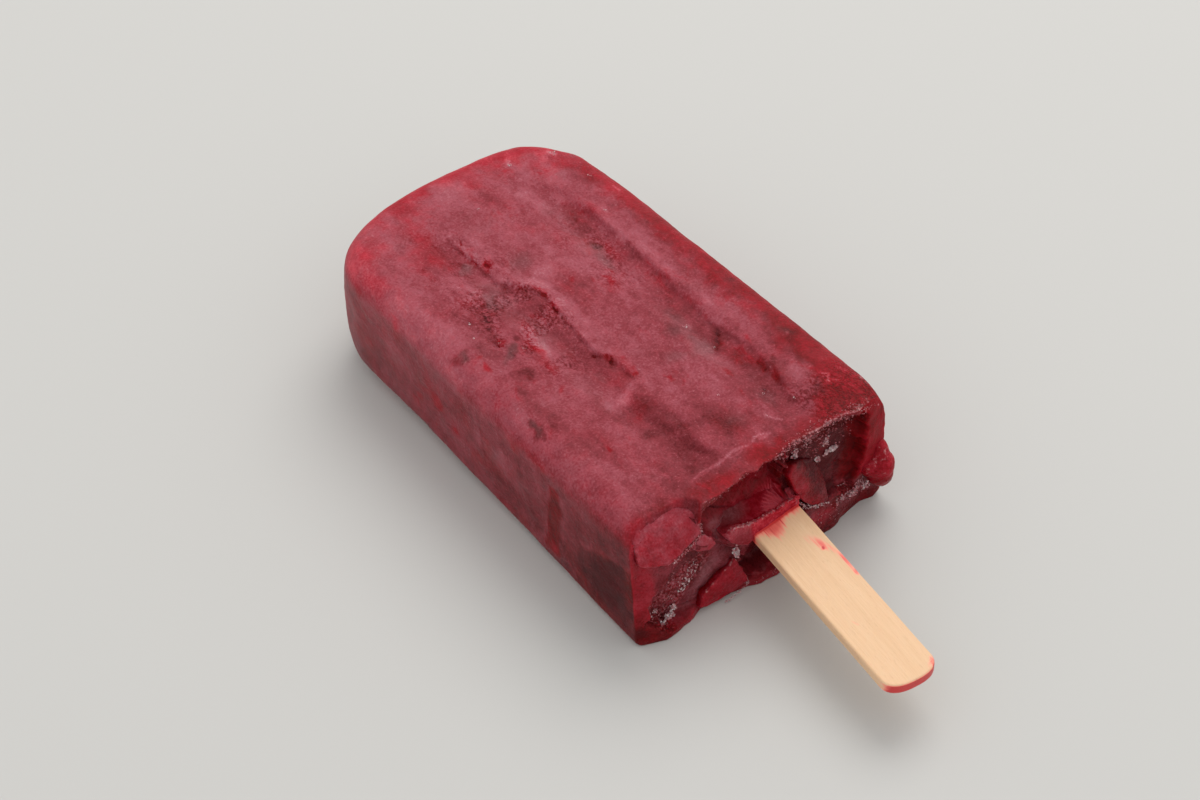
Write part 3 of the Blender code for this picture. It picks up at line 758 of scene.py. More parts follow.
    # Painted light: the thin +y corner by the rim glows red where light passes through it; its grey, frost
    # and gloss are taken away below
    corner = smooth(19.5, 23.0, y) * smooth(-7.0, -3.0, x) * smooth(24.6, 22.4, z)
    shoulder = smooth(0.2, 0.6, normal[..., 2]) * (1 - smooth(0.75, 0.98, normal[..., 2]))
    red += 0.35 * shoulder * smooth(-70.0, -84.0, x) * smooth(-20.0, -8.0, y)
    red += aside * 0.35 * smooth(0.1, 0.7, rough(points, 6.0, 3, 181))
    red += 0.6 * aside * smooth(2.4, 0.6, z)
    # Painted light: the +y side glows redder towards the top where light passes through its rounded edge
    red += 0.65 * right * aside * smooth(9.0, 23.0, z + 2.0 * push_y)
    # The last term is painted shade on the -y side by the stick end
    tone -= 0.2 * up * plus_red + 0.05 * corner + 0.2 * left * aside * smooth(-14.0, -8.0, x)
    red += 1.4 * corner

    # grey
    grey = up * spots(wx, wy, FACE_GREY) + 0.2 * smooth(0.1, 0.7, streaky) * aside * (1 - down)
    grey += 0.25 * left * aside * smooth(-58.0, -70.0, x) * smooth(13.0, 7.0, z)
    grey += 0.36 * aside * (1 - down) * smooth(24.0, 19.0, z)
    grey += 0.25 * smooth(0.2, 0.7, rough(points, 7.0, 3, 191))

    # frost, crumb and wet
    near_rim = smooth(-2.0, -0.2, x + 0.5 * push_y)
    frost = 0.3 * near_rim * smooth(3.0, 7.0, y) * smooth(22.5, 20.5, y) * up
    plus_rim = smooth(21.0, 23.5, y) * smooth(-16.0, -10.0, x)
    frost += 0.26 * plus_rim * smooth(0.0, 0.6, fine) * smooth(20.5, 23.0, z)
    # White frost lines; the pair by the rim is partly a painted highlight
    streaks = up * lines(x + 0.2 * push_x, y + 0.2 * push_y, WHITE_LINES)
    frost += 0.17 * streaks
    tone += 0.75 * streaks
    red *= 1.0 - 0.6 * streaks
    crumb = 1.25 * up * crumbly_share(points) * (0.45 + 0.55 * smooth(-66.0, -60.0, x))
    crumb *= 1.0 - 0.65 * spot(x, y, *ALMOST_WHOLE)
    crumb += 0.7 * up * smooth(11.0, 14.0, y) * smooth(-13.0, -9.0, x)
    crumb += 0.4 * down * smooth(0.0, 0.5, broad)
    wet = 0.35 * aside + 0.35 * np.clip(red, 0, 1) - 0.8 * corner

    # cracks
    ragged_x = x + 0.35 * push_x + 0.4 * rough(points, 1.3, 2, 195)
    ragged_y = y + 0.35 * push_y + 0.4 * rough(points, 1.3, 2, 197)
    broken_up = rough(points, 1.4, 2, 43)
    dark_lines = up * lines(ragged_x, ragged_y, CRACKS) * smooth(-0.5, 0.3, broken_up)
    tone -= 0.3 * dark_lines
    red += 0.6 * dark_lines
    crack = up * near_lines(ragged_x, ragged_y, CRACKS, 1.3) * smooth(-0.8, 0.1, broken_up)
    crumb = np.clip(crumb + 0.6 * dark_lines, 0.0, 1.2)
    grey *= (1.0 - corner) * (1.0 - 0.8 * wedge) * (1.0 - 0.9 * np.clip(side_red, 0.0, 1.0))
    # Less grey where the +y side's painted glow is
    grey *= 1.0 - 0.5 * right * aside * smooth(12.0, 22.0, z + push_y)
    frost *= 1.0 - corner
    return {"tone": tone, "red": red, "grey": grey, "frost": frost, "crumb": crumb, "wet": wet,
            "crack": crack}


# ---------------------------------------------------------------- the broken stick end
# How far the broken end stands out along its upper and its lower rim: (y, x)
UPPER_RIM = (
    (-25.6, -1), (-14.6, -1), (-13.4, 0.4), (-11.5, 0.7), (-9.8, 0.9), (-7.8, 0.4), (-5.7, 0.2),
    (-3.6, -0.4), (-1.8, 0.3), (0, -0.4), (2.4, -0.2), (4.5, -0.7), (6.8, -1), (9, -0.7), (11.4, -0.8),
    (13.2, -1), (15.4, -0.7), (18.2, -0.3), (20.3, 0), (22.5, -0.6), (25.6, -1.9),
)
LOWER_RIM = (
    (-25.6, -0.2), (-23, 0.8), (-20.4, 1.5), (-17.5, 1), (-15.3, 0.6), (-13, -0.4), (-10.4, -0.2),
    (-7.2, 0), (-4, 0.5), (-2.4, 1.3), (0.9, 1.4), (5, 0.9), (9, -0.4), (13.8, -1.1), (15.9, -1.3),
    (17.4, -2), (21.8, -2.9), (25.6, -2.4),
)

# Breaks in the end face: outline in y, z (anticlockwise), edge softness, depth plane (x at the
# outline's first corner, slope over y, slope over z)
BREAKS = {
    "frosted_band": (((-23.6, 4.2), (-20.2, 1.6), (-14.2, 1.5), (-5.4, 7.2), (-6.5, 10.4), (-9.2, 13.2),
                      (-12.6, 14.4), (-16.0, 12.6), (-21.8, 9.0)), 0.9, (-1.5, 0.0, 0.02)),
    "above_chip": (((-13.8, 2.0), (-4.6, 1.9), (-4.4, 7.4), (-6.0, 9.6), (-12.6, 6.4)),
                   0.9, (-1.3, 0.03, 0.0)),
    "hollow": (((-13.0, 15.2), (-9.4, 13.4), (-7.0, 12.4), (6.3, 12.2), (5.2, 18.0), (5.6, 24.3),
                (-9.4, 24.2), (-13.2, 22.0)), 0.8, (-4.4, 0.0, 0.0)),
    "dark_wall": (((5.2, 9.0), (13.5, 7.7), (20.0, 7.6), (20.6, 23.2), (13.0, 24.2), (5.0, 24.2)),
                  0.8, (-2.9, 0.0, 0.03)),
    "facet": (((16.2, 6.6), (19.2, 5.6), (19.2, 11.4), (16.5, 13.0)), 0.35, (-3.6, 0.22, -0.03)),
    "under_stick": (((-4.6, 2.0), (6.5, 1.8), (8.4, 5.0), (6.8, 9.6), (-3.0, 9.6), (-4.4, 6.0)),
                    0.9, (-3.2, 0.0, 0.0)),
}


def inset_in_end(y, z):
    """About how far a point of the end face is in from the bar's section."""
    corner = np.hypot(np.maximum(np.abs(y) - (HALF_WIDTH - TOP_RADIUS), 0),
                      np.maximum(z - (THICKNESS - TOP_RADIUS), 0))
    return np.minimum(TOP_RADIUS - corner, np.minimum(z, HALF_WIDTH - np.abs(y)))


def break_shares(y, z, points):
    """How much of each break is at a point, from 0 to 1: ragged edges that stop short of the rim."""
    keep_off = smooth(0.25, 0.75, inset_in_end(y, z))
    shares = {}
    for number, (name, (outline, soft, _)) in enumerate(BREAKS.items()):
        ragged = 0.6 * rough(points, 1.7, 3, 80 + number)
        inside = depth_inside(y, z, list(outline)) + ragged
        shares[name] = smooth(-soft / 2, soft / 2, inside) * keep_off
    return shares


def end_relief(y, z):
    """The end face as a height x over y and z: a wavy base with each break cut to its depth."""
    points = on_end(y, z)
    upper = along_table(y, UPPER_RIM)
    lower = along_table(y, LOWER_RIM)
    x = blend(lower, upper, smooth(1.0, 17.0, z)) + 0.2 * rough(points, 3.2, 3, 71)
    shares = break_shares(y, z, points)
    for number, (name, (outline, _, (depth, over_y, over_z))) in enumerate(BREAKS.items()):
        plane = depth + over_y * (y - outline[0][0]) + over_z * (z - outline[0][1])
        plane += 0.3 * rough(points, 2.8, 3, 90 + number)
        if name == "hollow":
            plane = plane - 1.2 * smooth(13.0, 17.0, z) + 1.6 * smooth(19.0, 24.4, z)
            plane += 1.2 * smooth(-8.0, -13.0, y)
            plane += 1.7 * smooth(18.0, 13.0, z) * smooth(-4.0, -8.0, y)
        x = blend(x, plane, shares[name])
    crystals = np.maximum(rough(points, 0.62, 2, 99), 0.0)
    return x + 0.3 * end_granular(y, z) * crystals


def end_granular(y, z):
    """Where the broken face is covered with frost grains."""
    strip = within(y, z, ((-23.8, 4.4), (-20.0, 0.8), (-18.4, 1.7), (-14.3, 5.4), (-9.5, 10.0),
                          (-11.8, 12.4), (-17.7, 10.0), (-23.0, 5.8)), 1.0)
    under_rim = within(y, z, ((5.0, 20.8), (21.0, 20.8), (21.2, 23.6), (13.0, 24.3), (5.0, 24.3)), 1.6)
    shelf = within(y, z, ((14.6, 4.4), (22.0, 4.2), (22.0, 7.0), (14.6, 6.8)), 0.8)
    return np.clip(strip + 0.8 * under_rim + 0.7 * shelf, 0.0, 1.0)


# Marks on the broken face: y, z, two radii, turn, strength. The pale one at 17.6, 9 is a painted
# reflection on the small facet
END_TONE = (
    (-8, 13.6, 4, 1.6, 0, 0.4), (-10.6, 12.6, 1.8, 1.6, 0, 0.5), (-11.8, 6, 6.5, 2, 52, 0.62),
    (-15, 0.6, 2, 1.4, 0, 0.35), (-19.4, 12.6, 3, 1.4, -20, 0.25), (17.6, 9, 1.8, 3.4, 0, 0.3),
    (-8.2, 5.8, 2.6, 1.2, 40, 0.3), (-18, 14.2, 5, 2, -10, 0.2), (-17, 3, 3, 1.6, 30, 0.15),
    (11, 5, 4, 1.6, -8, 0.3), (2.4, 13.4, 3.4, 1.4, 0, 0.3),
)
HOLLOW_FAN = (3.8, 11.6)      # y, z that the needles in the hollow spread from


def end_fields(points):
    """The same seven fields for the broken face, from its zones and from noise."""
    _, y, z = parts(points)
    wobble = 0.5 * rough(points, 2.2, 3, 211)
    wy, wz = y + wobble, z - wobble
    shares = break_shares(y, z, on_end(y, z))
    tone = -0.45 + 0.28 * rough(points, 3.0, 3, 221) + spots(wy, wz, END_TONE)
    # Painted shadow under the stick, where the stick's shadow falls; the small lift in the hollow, and the
    # red added to it below, are painted light in the shaded hollow
    tone += 0.1 * shares["hollow"] - 0.55 * shares["dark_wall"] - 0.45 * shares["under_stick"]
    tone += 0.05 * shares["above_chip"] - 0.3 * smooth(5.0, 1.0, z) * smooth(6.0, 9.0, y)
    left_margin = smooth(-20.8, -22.4, wy)
    # Painted light: the thin +y edge, seen end on, glows deep red where the light passes through it
    glowing_right_edge = smooth(17.2, 19.6, wy + 0.3 * (14.0 - z) * 0.35) * smooth(7.0, 8.6, z)
    foot = smooth(3.0, 1.2, z + wobble)
    red = 0.2 + 0.5 * left_margin + 1.6 * glowing_right_edge + 0.35 * foot - 0.25 * shares["frosted_band"]
    red += 0.15 * shares["dark_wall"] * (1 - glowing_right_edge) + 0.45 * shares["hollow"]
    low_left = smooth(6.0, 2.5, z + wobble) * smooth(-17.0, -20.0, y)
    tone += (0.52 - 0.6 * smooth(9.0, 3.0, z)) * left_margin - 0.4 * low_left
    tone += 0.2 * glowing_right_edge
    tone += 0.2 * foot * smooth(4.0, 1.0, y)
    fan = np.arctan2(z - HOLLOW_FAN[1], y - HOLLOW_FAN[0] + 0.3 * wobble)
    needles = smooth(0.45, 0.95, np.cos(fan * 34.0 + 2.0 * rough(points, 1.8, 2, 231)))
    # The needles are real bright crystals; the lift in tone and red around them is also painted light on
    # the hollow's shaded floor
    near_fan = spot(y, z, (5.0, 13.0), (5.0, 2.8)) * shares["hollow"]
    tone += (0.8 + 1.4 * needles) * near_fan
    red += 1.5 * near_fan
    near_shelf = spot(wy, wz, (11.5, 4.4), (6.0, 3.2))
    tone += 0.3 * near_shelf
    red += 0.45 * near_shelf
    # A painted reflection of the light on the hollow's wet left floor: paler and greyer there
    on_floor = spot(wy, wz, (-6.0, 12.8), (6.5, 2.0))
    on_floor = np.maximum(on_floor, 0.9 * spot(wy, wz, (-7.2, 13.8), (3.2, 2.0))) * shares["hollow"]
    tone += 0.3 * on_floor
    grey = 0.9 * on_floor + 0.2 * left_margin * smooth(9.0, 3.0, z)
    grey += 0.55 * spot(wy, wz, (-11.8, 6.0), (6.5, 2.4), 52)
    # The grey spot at 17.6, 9 is a painted reflection on the small facet
    grey += 0.3 * spot(wy, wz, (17.6, 9.0), (2.2, 4.0)) + 0.35 * shares["frosted_band"]
    granular = end_granular(y, z)
    tone += (-0.24 + 0.46 * smooth(-6.0, -9.0, y)) * granular
    red += 0.5 * granular
    rim = smooth(0.45, 0.05, inset_in_end(y, z)) * smooth(21.8, 20.0, y)
    ragged_rim = smooth(-0.3, 0.4, rough(points, 1.1, 2, 241))
    frost = 0.1 * granular + 0.3 * rim * ragged_rim * smooth(20.0, 24.0, z)
    wet = 0.75 - 0.85 * glowing_right_edge - 0.5 * granular
    return {"tone": tone, "red": red, "grey": grey, "frost": frost, "crumb": granular, "wet": wet,
            "crack": np.zeros(y.shape)}


# The worn slope under the corner flake: x and z at its top, its fall, and how far it lies below
WORN_SLOPE = (-2.5, 24.4, 1.644, 0.35)
# Where that slope stops: y, x
WORN_BACK_EDGE = ((-25.6, -2.3), (-18.8, -2.4), (-15.5, -2.3), (-13.9, -1.9), (-13.2, -0.6), (-12.9, 0.4))


def worn_corners(points):
    """Lowers the face under the corner flake to a slope, and draws the +y corner of the rim in."""
    x, y, z = parts(points)
    top_x, top_z, fall, below = WORN_SLOPE
    slope = top_z - fall * (x - top_x) - below
    share = smooth(-12.7, -13.5, y) * smooth(0.05, 0.45, x - along_table(y, WORN_BACK_EDGE))
    lowered = np.minimum(z, blend(z, slope, share))
    near = np.clip((x + 9.0) / 9.0, 0.0, 1.2)
    drawn = y - 1.7 * near ** 2.4 * smooth(12.0, 25.0, y) * (0.12 + 0.88 * smooth(17.0, 23.0, z))
    lowered = lowered - 0.9 * near ** 3 * smooth(15.0, 24.0, y) * smooth(12.0, 24.0, z)
    return np.stack([x, drawn, lowered], axis=-1)


def slot_ring(ring):
    """The slot's outline for each ring point: the stick's rounded rectangle, a little larger."""
    out, angle, height, _, side = ring
    half_width = STICK_HALF_WIDTH + SLOT_GAP
    half_thickness = STICK_HALF_THICKNESS + SLOT_GAP
    radius = STICK_EDGE_RADIUS + SLOT_GAP
    y = ((half_width - radius) * out + radius * np.cos(angle)) * side
    z = (half_thickness - radius) * (2 * height - 1) + radius * np.sin(angle)
    middle = STICK_EXIT - SLOT_MOUTH * STICK_ALONG
    return y + middle[1], z + middle[2]


def end_rows(rim, ring, count):
    """Rings from the rim in to the slot, spaced evenly along the broken surface itself.

    Each ring lies a share of the way on the straight line in y and z from the rim to the slot;
    its x comes from end_relief, eased to the rim's own x over the first half millimetre.
    """
    slot_y, slot_z = slot_ring(ring)

    def surface(share):
        """The points of the end face at a share of the way in."""
        y = blend(rim[None, :, 1], slot_y[None, :], share)
        z = blend(rim[None, :, 2], slot_z[None, :], share)
        inset = np.hypot(y - rim[:, 1], z - rim[:, 2])
        fall = np.clip(1.0 - inset / RIM_RADIUS, 0.0, 1.0)
        relief = end_relief(y, z)
        start = end_relief(rim[:, 1], rim[:, 2])
        drop = (rim[:, 0] + RIM_RADIUS - start) * smooth(1.2, 0.2, inset)
        x = relief + drop - RIM_RADIUS * (1.0 - np.sqrt(1.0 - fall ** 2))
        return np.stack([x, y, z], axis=-1)

    fine = np.linspace(0, 1, 300)[:, None]
    run = run_along(surface(fine))
    run = blend(run / run[-1], fine, 0.25)
    wanted = np.linspace(0, 1, count) ** 1.1
    share = np.stack([np.interp(wanted, column, fine[:, 0]) for column in run.T], axis=1)
    return surface(share)


def bar_surface():
    """The whole bar as one closed grid: tip, body, broken end, and the slot down to its bottom."""
    ring = full_section()
    rim_y, rim_z, _ = section_at(np.array(0.0), ring)
    rim_x = end_relief(rim_y, rim_z) - RIM_RADIUS
    tip, tip_normal = tip_rows(ring, TIP_ROWS)
    body, body_normal = body_rows(ring, rim_x)
    skin = np.concatenate([tip, body])
    normal = np.concatenate([tip_normal, body_normal])
    relief = skin_relief(skin, normal)
    outer = worn_corners(skin + relief[..., None] * normal)
    end = end_rows(outer[-1], ring, END_ROWS)
    mouth = end[-1]
    slot = mouth[None] - np.array(SLOT_DEPTHS)[:, None, None] * STICK_ALONG
    bottom = np.broadcast_to(slot[-1].mean(axis=0), slot[-1].shape)[None]
    deep = np.concatenate([slot, bottom])
    fields = skin_fields(skin, normal)
    inner = end_fields(np.concatenate([end[1:], deep]))
    fields = {name: np.concatenate([fields[name], inner[name]]) for name in fields}
    return np.concatenate([outer, end[1:], deep]), fields


# ---------------------------------------------------------------- loose and broken pieces of ice
def closed_line(corners, count, rounding):
    """Evenly spaced points round a closed outline, its corners eased by averaging neighbours."""
    corners = np.asarray(corners, dtype=float)
    loop = np.concatenate([corners, corners[:1]])
    run = run_along(loop)
    places = np.linspace(0, run[-1], count, endpoint=False)
    line = np.stack([np.interp(places, run, loop[:, k]) for k in range(3)], axis=-1)
    for _ in range(rounding):
        line = 0.5 * line + 0.25 * (np.roll(line, 1, axis=0) + np.roll(line, -1, axis=0))
    return line


SHARD_POINTS = 200            # round a shard's outline
SHARD_ROWS = (42, 14, 4)      # on its face, its walls and its back


def shard_surface(corners, out, thickness, dome, ragged, seed):
    """A broken piece of ice with a flat worn face, as a closed grid of rings.

    Face: middle + s * (outline - middle) for s from 0 to 1, domed by dome * (1 - s^2), with a
    small round at the edge. Walls go back from the outline against out by the thickness, drawn
    in a little, and the back closes on its middle. Noise roughens the outline and the face.
    """
    out = np.asarray(out, dtype=float) / np.linalg.norm(out)
    on_face, on_wall, on_back = SHARD_ROWS
    outline = closed_line(corners, SHARD_POINTS, 3)
    middle = outline.mean(axis=0)
    away = outline - middle
    away = away / np.linalg.norm(away, axis=1)[:, None]
    outline = outline + away * (ragged * rough(outline, 1.5, 4, seed))[:, None]
    s = np.linspace(0, 1, on_face)[:, None, None] ** 0.8
    face = middle + s * (outline - middle)
    fall = np.clip(1.0 - (1.0 - s[..., 0]) * 9.0, 0, 1)
    height = dome * (1.0 - s[..., 0] ** 2) - 0.22 * (1.0 - np.sqrt(1.0 - fall ** 2))
    height = height + 0.16 * rough(face, 3.2, 3, seed + 3) * np.minimum(1.0, 1.6 - s[..., 0])
    height = height + 0.06 * rough(face, 0.9, 3, seed + 4)
    face = face + height[..., None] * out
    t = np.linspace(0, 1, on_wall)[1:, None, None]
    wall = face[-1] - out * thickness * t - away * 0.16 * thickness * t ** 1.5
    wall = wall + away * (0.12 * rough(wall, 0.8, 3, seed + 5))[..., None]
    back_middle = middle - out * thickness
    u = np.linspace(1, 0, on_back)[1:, None, None]
    back = back_middle + u * (wall[-1] - back_middle)
    rows = np.concatenate([face, wall, back])
    depth = np.concatenate([s[:, 0, 0] - 1.0, t[:, 0, 0] * thickness, [thickness] * len(back)])
    return rows, np.broadcast_to(depth[:, None], rows.shape[:2])


def shard_fields(rows, depth, tone, red, grey, wet, seed):
    """Fields of a shard: an even worn face, a frosted ragged edge, darker clear walls."""
    edge = smooth(-0.09, 0.0, depth) * smooth(0.55, 0.05, depth)
    edge = edge * smooth(-0.15, 0.35, rough(rows, 1.8, 2, seed + 4))
    wall = smooth(0.1, 0.9, depth)
    shade = 0.22 * rough(rows, 3.0, 4, seed) + 0.1 * rough(rows, 0.8, 2, seed + 1)
    return {
        "tone": tone + shade - 0.45 * wall,
        "red": red + 0.2 * rough(rows, 2.0, 2, seed + 2) + 0.1 * wall,
        "grey": grey * np.ones(depth.shape),
        "frost": 0.42 * edge * smooth(-0.35, 0.35, rough(rows, 0.9, 2, seed + 3)),
        "crumb": 0.25 * edge,
        "wet": wet - 0.4 * edge,
    }


# Outlines of the pieces that stand on the broken face: x, y, z
FLAKE_OUTLINE = (
    (-2.3, -23.4, 24.1), (-2.5, -21.8, 24.4), (-2.4, -18.8, 24.2), (-2.1, -15.8, 23.9),
    (-1.4, -13.8, 22.9), (-0.5, -13.1, 21.4), (0.1, -13, 20.2), (0.9, -13.2, 18.9), (1, -13.8, 18.6),
    (1.3, -15.9, 18.2), (1.7, -18.6, 17.5), (1.9, -20.3, 17.1), (1.5, -22.6, 17.8), (1, -24.6, 18.7),
    (0.4, -24.9, 19.6), (-1.2, -24.7, 22.2),
)
CHIP_OUTLINE = (
    (0, -6.2, 7.5), (0.1, -5.7, 7.1), (0.3, -4.8, 4.5), (0.6, -3.9, 1.6), (0.6, -6.4, 1.1),
    (0.6, -9.4, 0.9), (0.6, -12.4, 1.1), (0.6, -13.6, 1.9), (0.4, -12.7, 3.9), (0.2, -9.7, 5.5),
    (0.1, -7.2, 6.7),
)
SLAB_OUTLINE = (
    (-0.8, 5.5, 17.6), (-0.9, 6.3, 19.6), (-1.3, 7.8, 19.3), (-2, 9.8, 18.2), (-2.5, 12, 16.2),
    (-2.5, 13.2, 13.8), (-1.6, 13.7, 10.4), (-0.8, 13.6, 7.2), (-0.6, 11.6, 7.6), (-0.5, 9.4, 9),
    (-0.5, 7.8, 11.3), (-0.6, 6.5, 14),
)
LUMP_OUTLINE = (
    (-0.2, -14.2, 16.2), (-0.2, -13.4, 17.3), (-0.1, -11.9, 16.8), (0, -10.5, 15.1), (0.1, -9.9, 13.5),
    (0, -11, 12.8), (-0.1, -12.8, 13.5), (-0.2, -14, 14.6),
)


def corner_flake():
    """The bright worn flake on the -y corner of the broken end, its upper edge on the face."""
    rows, depth = shard_surface(FLAKE_OUTLINE, (0.84, -0.04, 0.54), 3.4, 0.25, 0.16, 301)
    fields = shard_fields(rows, depth, 0.0, 0.52, 0.0, 0.4, 311)
    fields["tone"] += 0.2 + 0.2 * smooth(20.0, 23.5, rows[..., 2])
    fields["tone"] += 0.22 * smooth(-17.0, -14.0, rows[..., 1])
    fields["frost"] *= smooth(-20.0, -14.5, rows[..., 1])
    return rows, fields


def lower_chip():
    """The bright chip low on the broken end, on the -y side of the stick."""
    rows, depth = shard_surface(CHIP_OUTLINE, (0.97, 0.0, 0.24), 2.6, 0.15, 0.18, 321)
    return rows, shard_fields(rows, depth, 0.0, 0.68, 0.0, 0.55, 331)


def slab_beside_stick():
    """The smooth slab on the +y side of the stick: a pink facet beside it, then a clear brown one, its
    greyish sheen a painted reflection.
    """
    rows, depth = shard_surface(SLAB_OUTLINE, (0.99, 0.03, 0.12), 3.4, 0.1, 0.16, 341)
    fields = shard_fields(rows, depth, -0.15, 0.35, 0.2, 0.8, 351)
    _, y, z = parts(rows)
    # millimetres across the ridge between the two facets
    across = ((y - 6.8) * 11.0 + (z - 19.4) * 4.7) / 11.96
    beyond = smooth(-1.3, 1.6, across + 0.6 * rough(rows, 2.0, 3, 355))
    rows = rows - np.array([0.1, 0.0, 0.0]) * np.maximum(across, 0)[..., None]
    # The brown facet: dark clear ice, with a painted reflection of the light as its greyish sheen
    brown = -1.05 + 0.6 * smooth(19.0, 9.0, z) + 0.25 * smooth(12.0, 8.0, z)
    fields["tone"] += blend(-0.06 + 0.2 * smooth(10.0, 16.0, z), brown, beyond)
    fields["red"] += blend(0.35, 0.0, beyond)
    fields["grey"] += 0.12 * beyond - 0.1
    fields["frost"] *= smooth(12.0, 9.0, z)
    return rows, fields


def shoulder_lump():
    """The small pink lump between the corner flake and the ledge over the stick."""
    rows, depth = shard_surface(LUMP_OUTLINE, (0.9, 0.0, 0.43), 2.4, 0.55, 0.14, 361)
    return rows, shard_fields(rows, depth, 0.4, 0.45, 0.0, 0.4, 371)


def loop_through(points, count):
    """A smooth closed loop through 2D points: a Catmull-Rom curve, count points in all."""
    points = np.asarray(points, dtype=float)
    t = np.linspace(0, points.shape[0], count, endpoint=False)
    index = np.floor(t).astype(int)
    f = (t - index).reshape((-1,) + (1,) * (points.ndim - 1))
    p0, p1, p2, p3 = (points[(index + k) % points.shape[0]] for k in (-1, 0, 1, 2))
    return 0.5 * (2 * p1 + (p2 - p0) * f + (2 * p0 - 5 * p1 + 4 * p2 - p3) * f ** 2
                  + (3 * p1 - p0 - 3 * p2 + p3) * f ** 3)


COLLAR_ENDS = (-7.8, 7.5)
COLLAR_FAN = (-0.2, 4.4)      # x, y that the needles on its floor spread from
COLLAR_ROWS = 150
COLLAR_POINTS = 104           # round its profile
# The lip over the stick, from its -y end to its +y end: y with the height of its crest, the height
# of its foot on the stick, and how far out the foot is
CREST_HEIGHT = (
    (-7.8, 13.7), (-7, 14.6), (-6.2, 14.9), (-4.6, 14.3), (-3.6, 13.9), (-2, 13.5), (0.3, 13.6),
    (2.5, 13.3), (4.2, 13.5), (6.1, 13.3), (7.5, 12.9),
)
FOOT_HEIGHT = ((-7.8, 12.8), (-7, 12), (-5.6, 10.6), (-4, 9.8), (-3.2, 10.4), (-2.9, 11.3), (7.5, 11.3))
FOOT_REACH = (
    (-7.8, 0.3), (-5, 0.4), (-3.4, 0.7), (-2.8, 0.85), (-0.8, 0.75), (2.5, 0.35), (5.1, 0.05),
    (7.5, -0.15),
)


def collar_over_stick():
    """The lip of ice over the stick and the hollow's floor behind it, as one carried profile.

    The profile in x and z runs from the back of the floor to a ragged crest, down the wet front
    to its foot on the stick, and back underneath; it is carried from one end to the other with
    crest, foot and reach from their tables, and shrinks to a point at both ends as
    sqrt(1 - (1 - d)^2), d being the distance from the end over the last 0.9 mm.
    """
    first, last = COLLAR_ENDS
    y = np.linspace(first, last, COLLAR_ROWS)
    crest = along_table(y, CREST_HEIGHT)
    foot = along_table(y, FOOT_HEIGHT)
    reach = along_table(y, FOOT_REACH)
    flat = np.zeros(COLLAR_ROWS)
    here = on_end(y, flat)
    crest = crest + 0.28 * rough(here, 1.1, 3, 401)
    front = 0.35 * reach - 0.1 + 0.25 * rough(here, 1.6, 3, 402)
    lean = crest - foot
    profile = np.array([
        (flat - 6.4, flat + 14.6), (flat - 4.6, flat + 13.6), (flat - 2.6, flat + 13.1),
        (front - 1.1, crest - 0.5), (front - 0.35, crest - 0.08),
        (front, crest), (front + 0.28, crest - 0.22),
        (blend(front, reach, 0.62), foot + 0.52 * lean), (blend(front, reach, 0.92), foot + 0.16 * lean),
        (reach, foot), (reach - 0.8, foot - 0.35), (flat - 3.0, foot - 0.35), (flat - 6.4, foot),
    ]).transpose(0, 2, 1)
    ring = loop_through(profile, COLLAR_POINTS)
    x = ring[..., 0].T
    z = ring[..., 1].T
    rows = np.stack([x, np.broadcast_to(y[:, None], x.shape), z], axis=-1)
    inside = np.minimum(y - first, last - y)[:, None, None]
    shrink = np.sqrt(1.0 - (1.0 - np.clip(inside / 0.9, 0, 1)) ** 2)
    middle = rows.mean(axis=1, keepdims=True)
    rows = middle + (rows - middle) * shrink
    x, across, _ = parts(rows)
    fan = np.arctan2(across - COLLAR_FAN[1], COLLAR_FAN[0] - x)
    far = np.hypot(across - COLLAR_FAN[1], x - COLLAR_FAN[0])
    needles = smooth(0.2, 0.9, np.cos(fan * 30.0 + 1.5 * rough(rows, 1.2, 2, 411)))
    floor_share = smooth(-0.5, -1.2, x) * smooth(4.6, 3.0, far) * smooth(0.6, 1.2, far)
    lift = 0.14 * needles * floor_share + 0.07 * rough(rows, 0.9, 3, 412)
    rows = rows + lift[..., None] * np.array([0.3, 0.0, 1.0])
    x, across, z = parts(rows)
    step = smooth(-0.9, 0.0, x)
    on_left = smooth(-2.4, -3.6, y)[:, None]
    ridge = smooth(-0.45, -0.02, z - crest[:, None]) * smooth(0.9, 0.1, x) * smooth(-0.75, -0.25, x)
    tone = blend(0.1, 0.5, step) - 0.5 * on_left * step * smooth(13.8, 11.0, z)
    # Bright needles on the floor behind the lip, and the spot by the slab's foot, lifted further as
    # painted light where the crest shades the floor
    tone += (0.7 + 1.2 * needles) * floor_share + 0.3 * smooth(-3.0, -1.0, x) * (1 - step)
    tone += 0.7 * spot(x, across, (-1.2, 6.0), (1.8, 2.4)) * (1 - step)
    fields = {
        "tone": tone + 0.2 * rough(rows, 1.6, 3, 421),
        "red": 1.2 - 0.7 * on_left * step - 0.5 * smooth(-1.0, -4.0, y)[:, None] * (1 - step),
        # A painted reflection of the light on the floor's -y part: greyer there
        "grey": 0.9 * spot(x, across, (-4.0, -4.0), (3.6, 5.0)) + 0.2 * on_left * step,
        "frost": (0.2 + 0.28 * on_left) * ridge * smooth(-0.4, 0.3, rough(rows, 0.7, 2, 422)),
        "crumb": 0.5 * ridge,
        "wet": 0.95 - 0.7 * ridge - 0.35 * on_left * step,
    }
    return rows, fields


BEAD_CENTRE = np.array([-1.3, 24.75, 8.2])
BEAD_RADIUS = 2.3
BEAD_ROWS = 46
BEAD_POINTS = 84              # in each row
# Where the bead is fuller (or, once, flatter) than a sphere: how much, which way, power
BEAD_LOBES = (
    (2.4, (-0.1, 0.05, -1.0), 3),
    (1.6, (-0.6, -1.0, 0.1), 3),
    (-0.3, (0.4, 0.9, -0.55), 10),
    (2.8, (-0.2, 0.02, 0.97), 9),
)


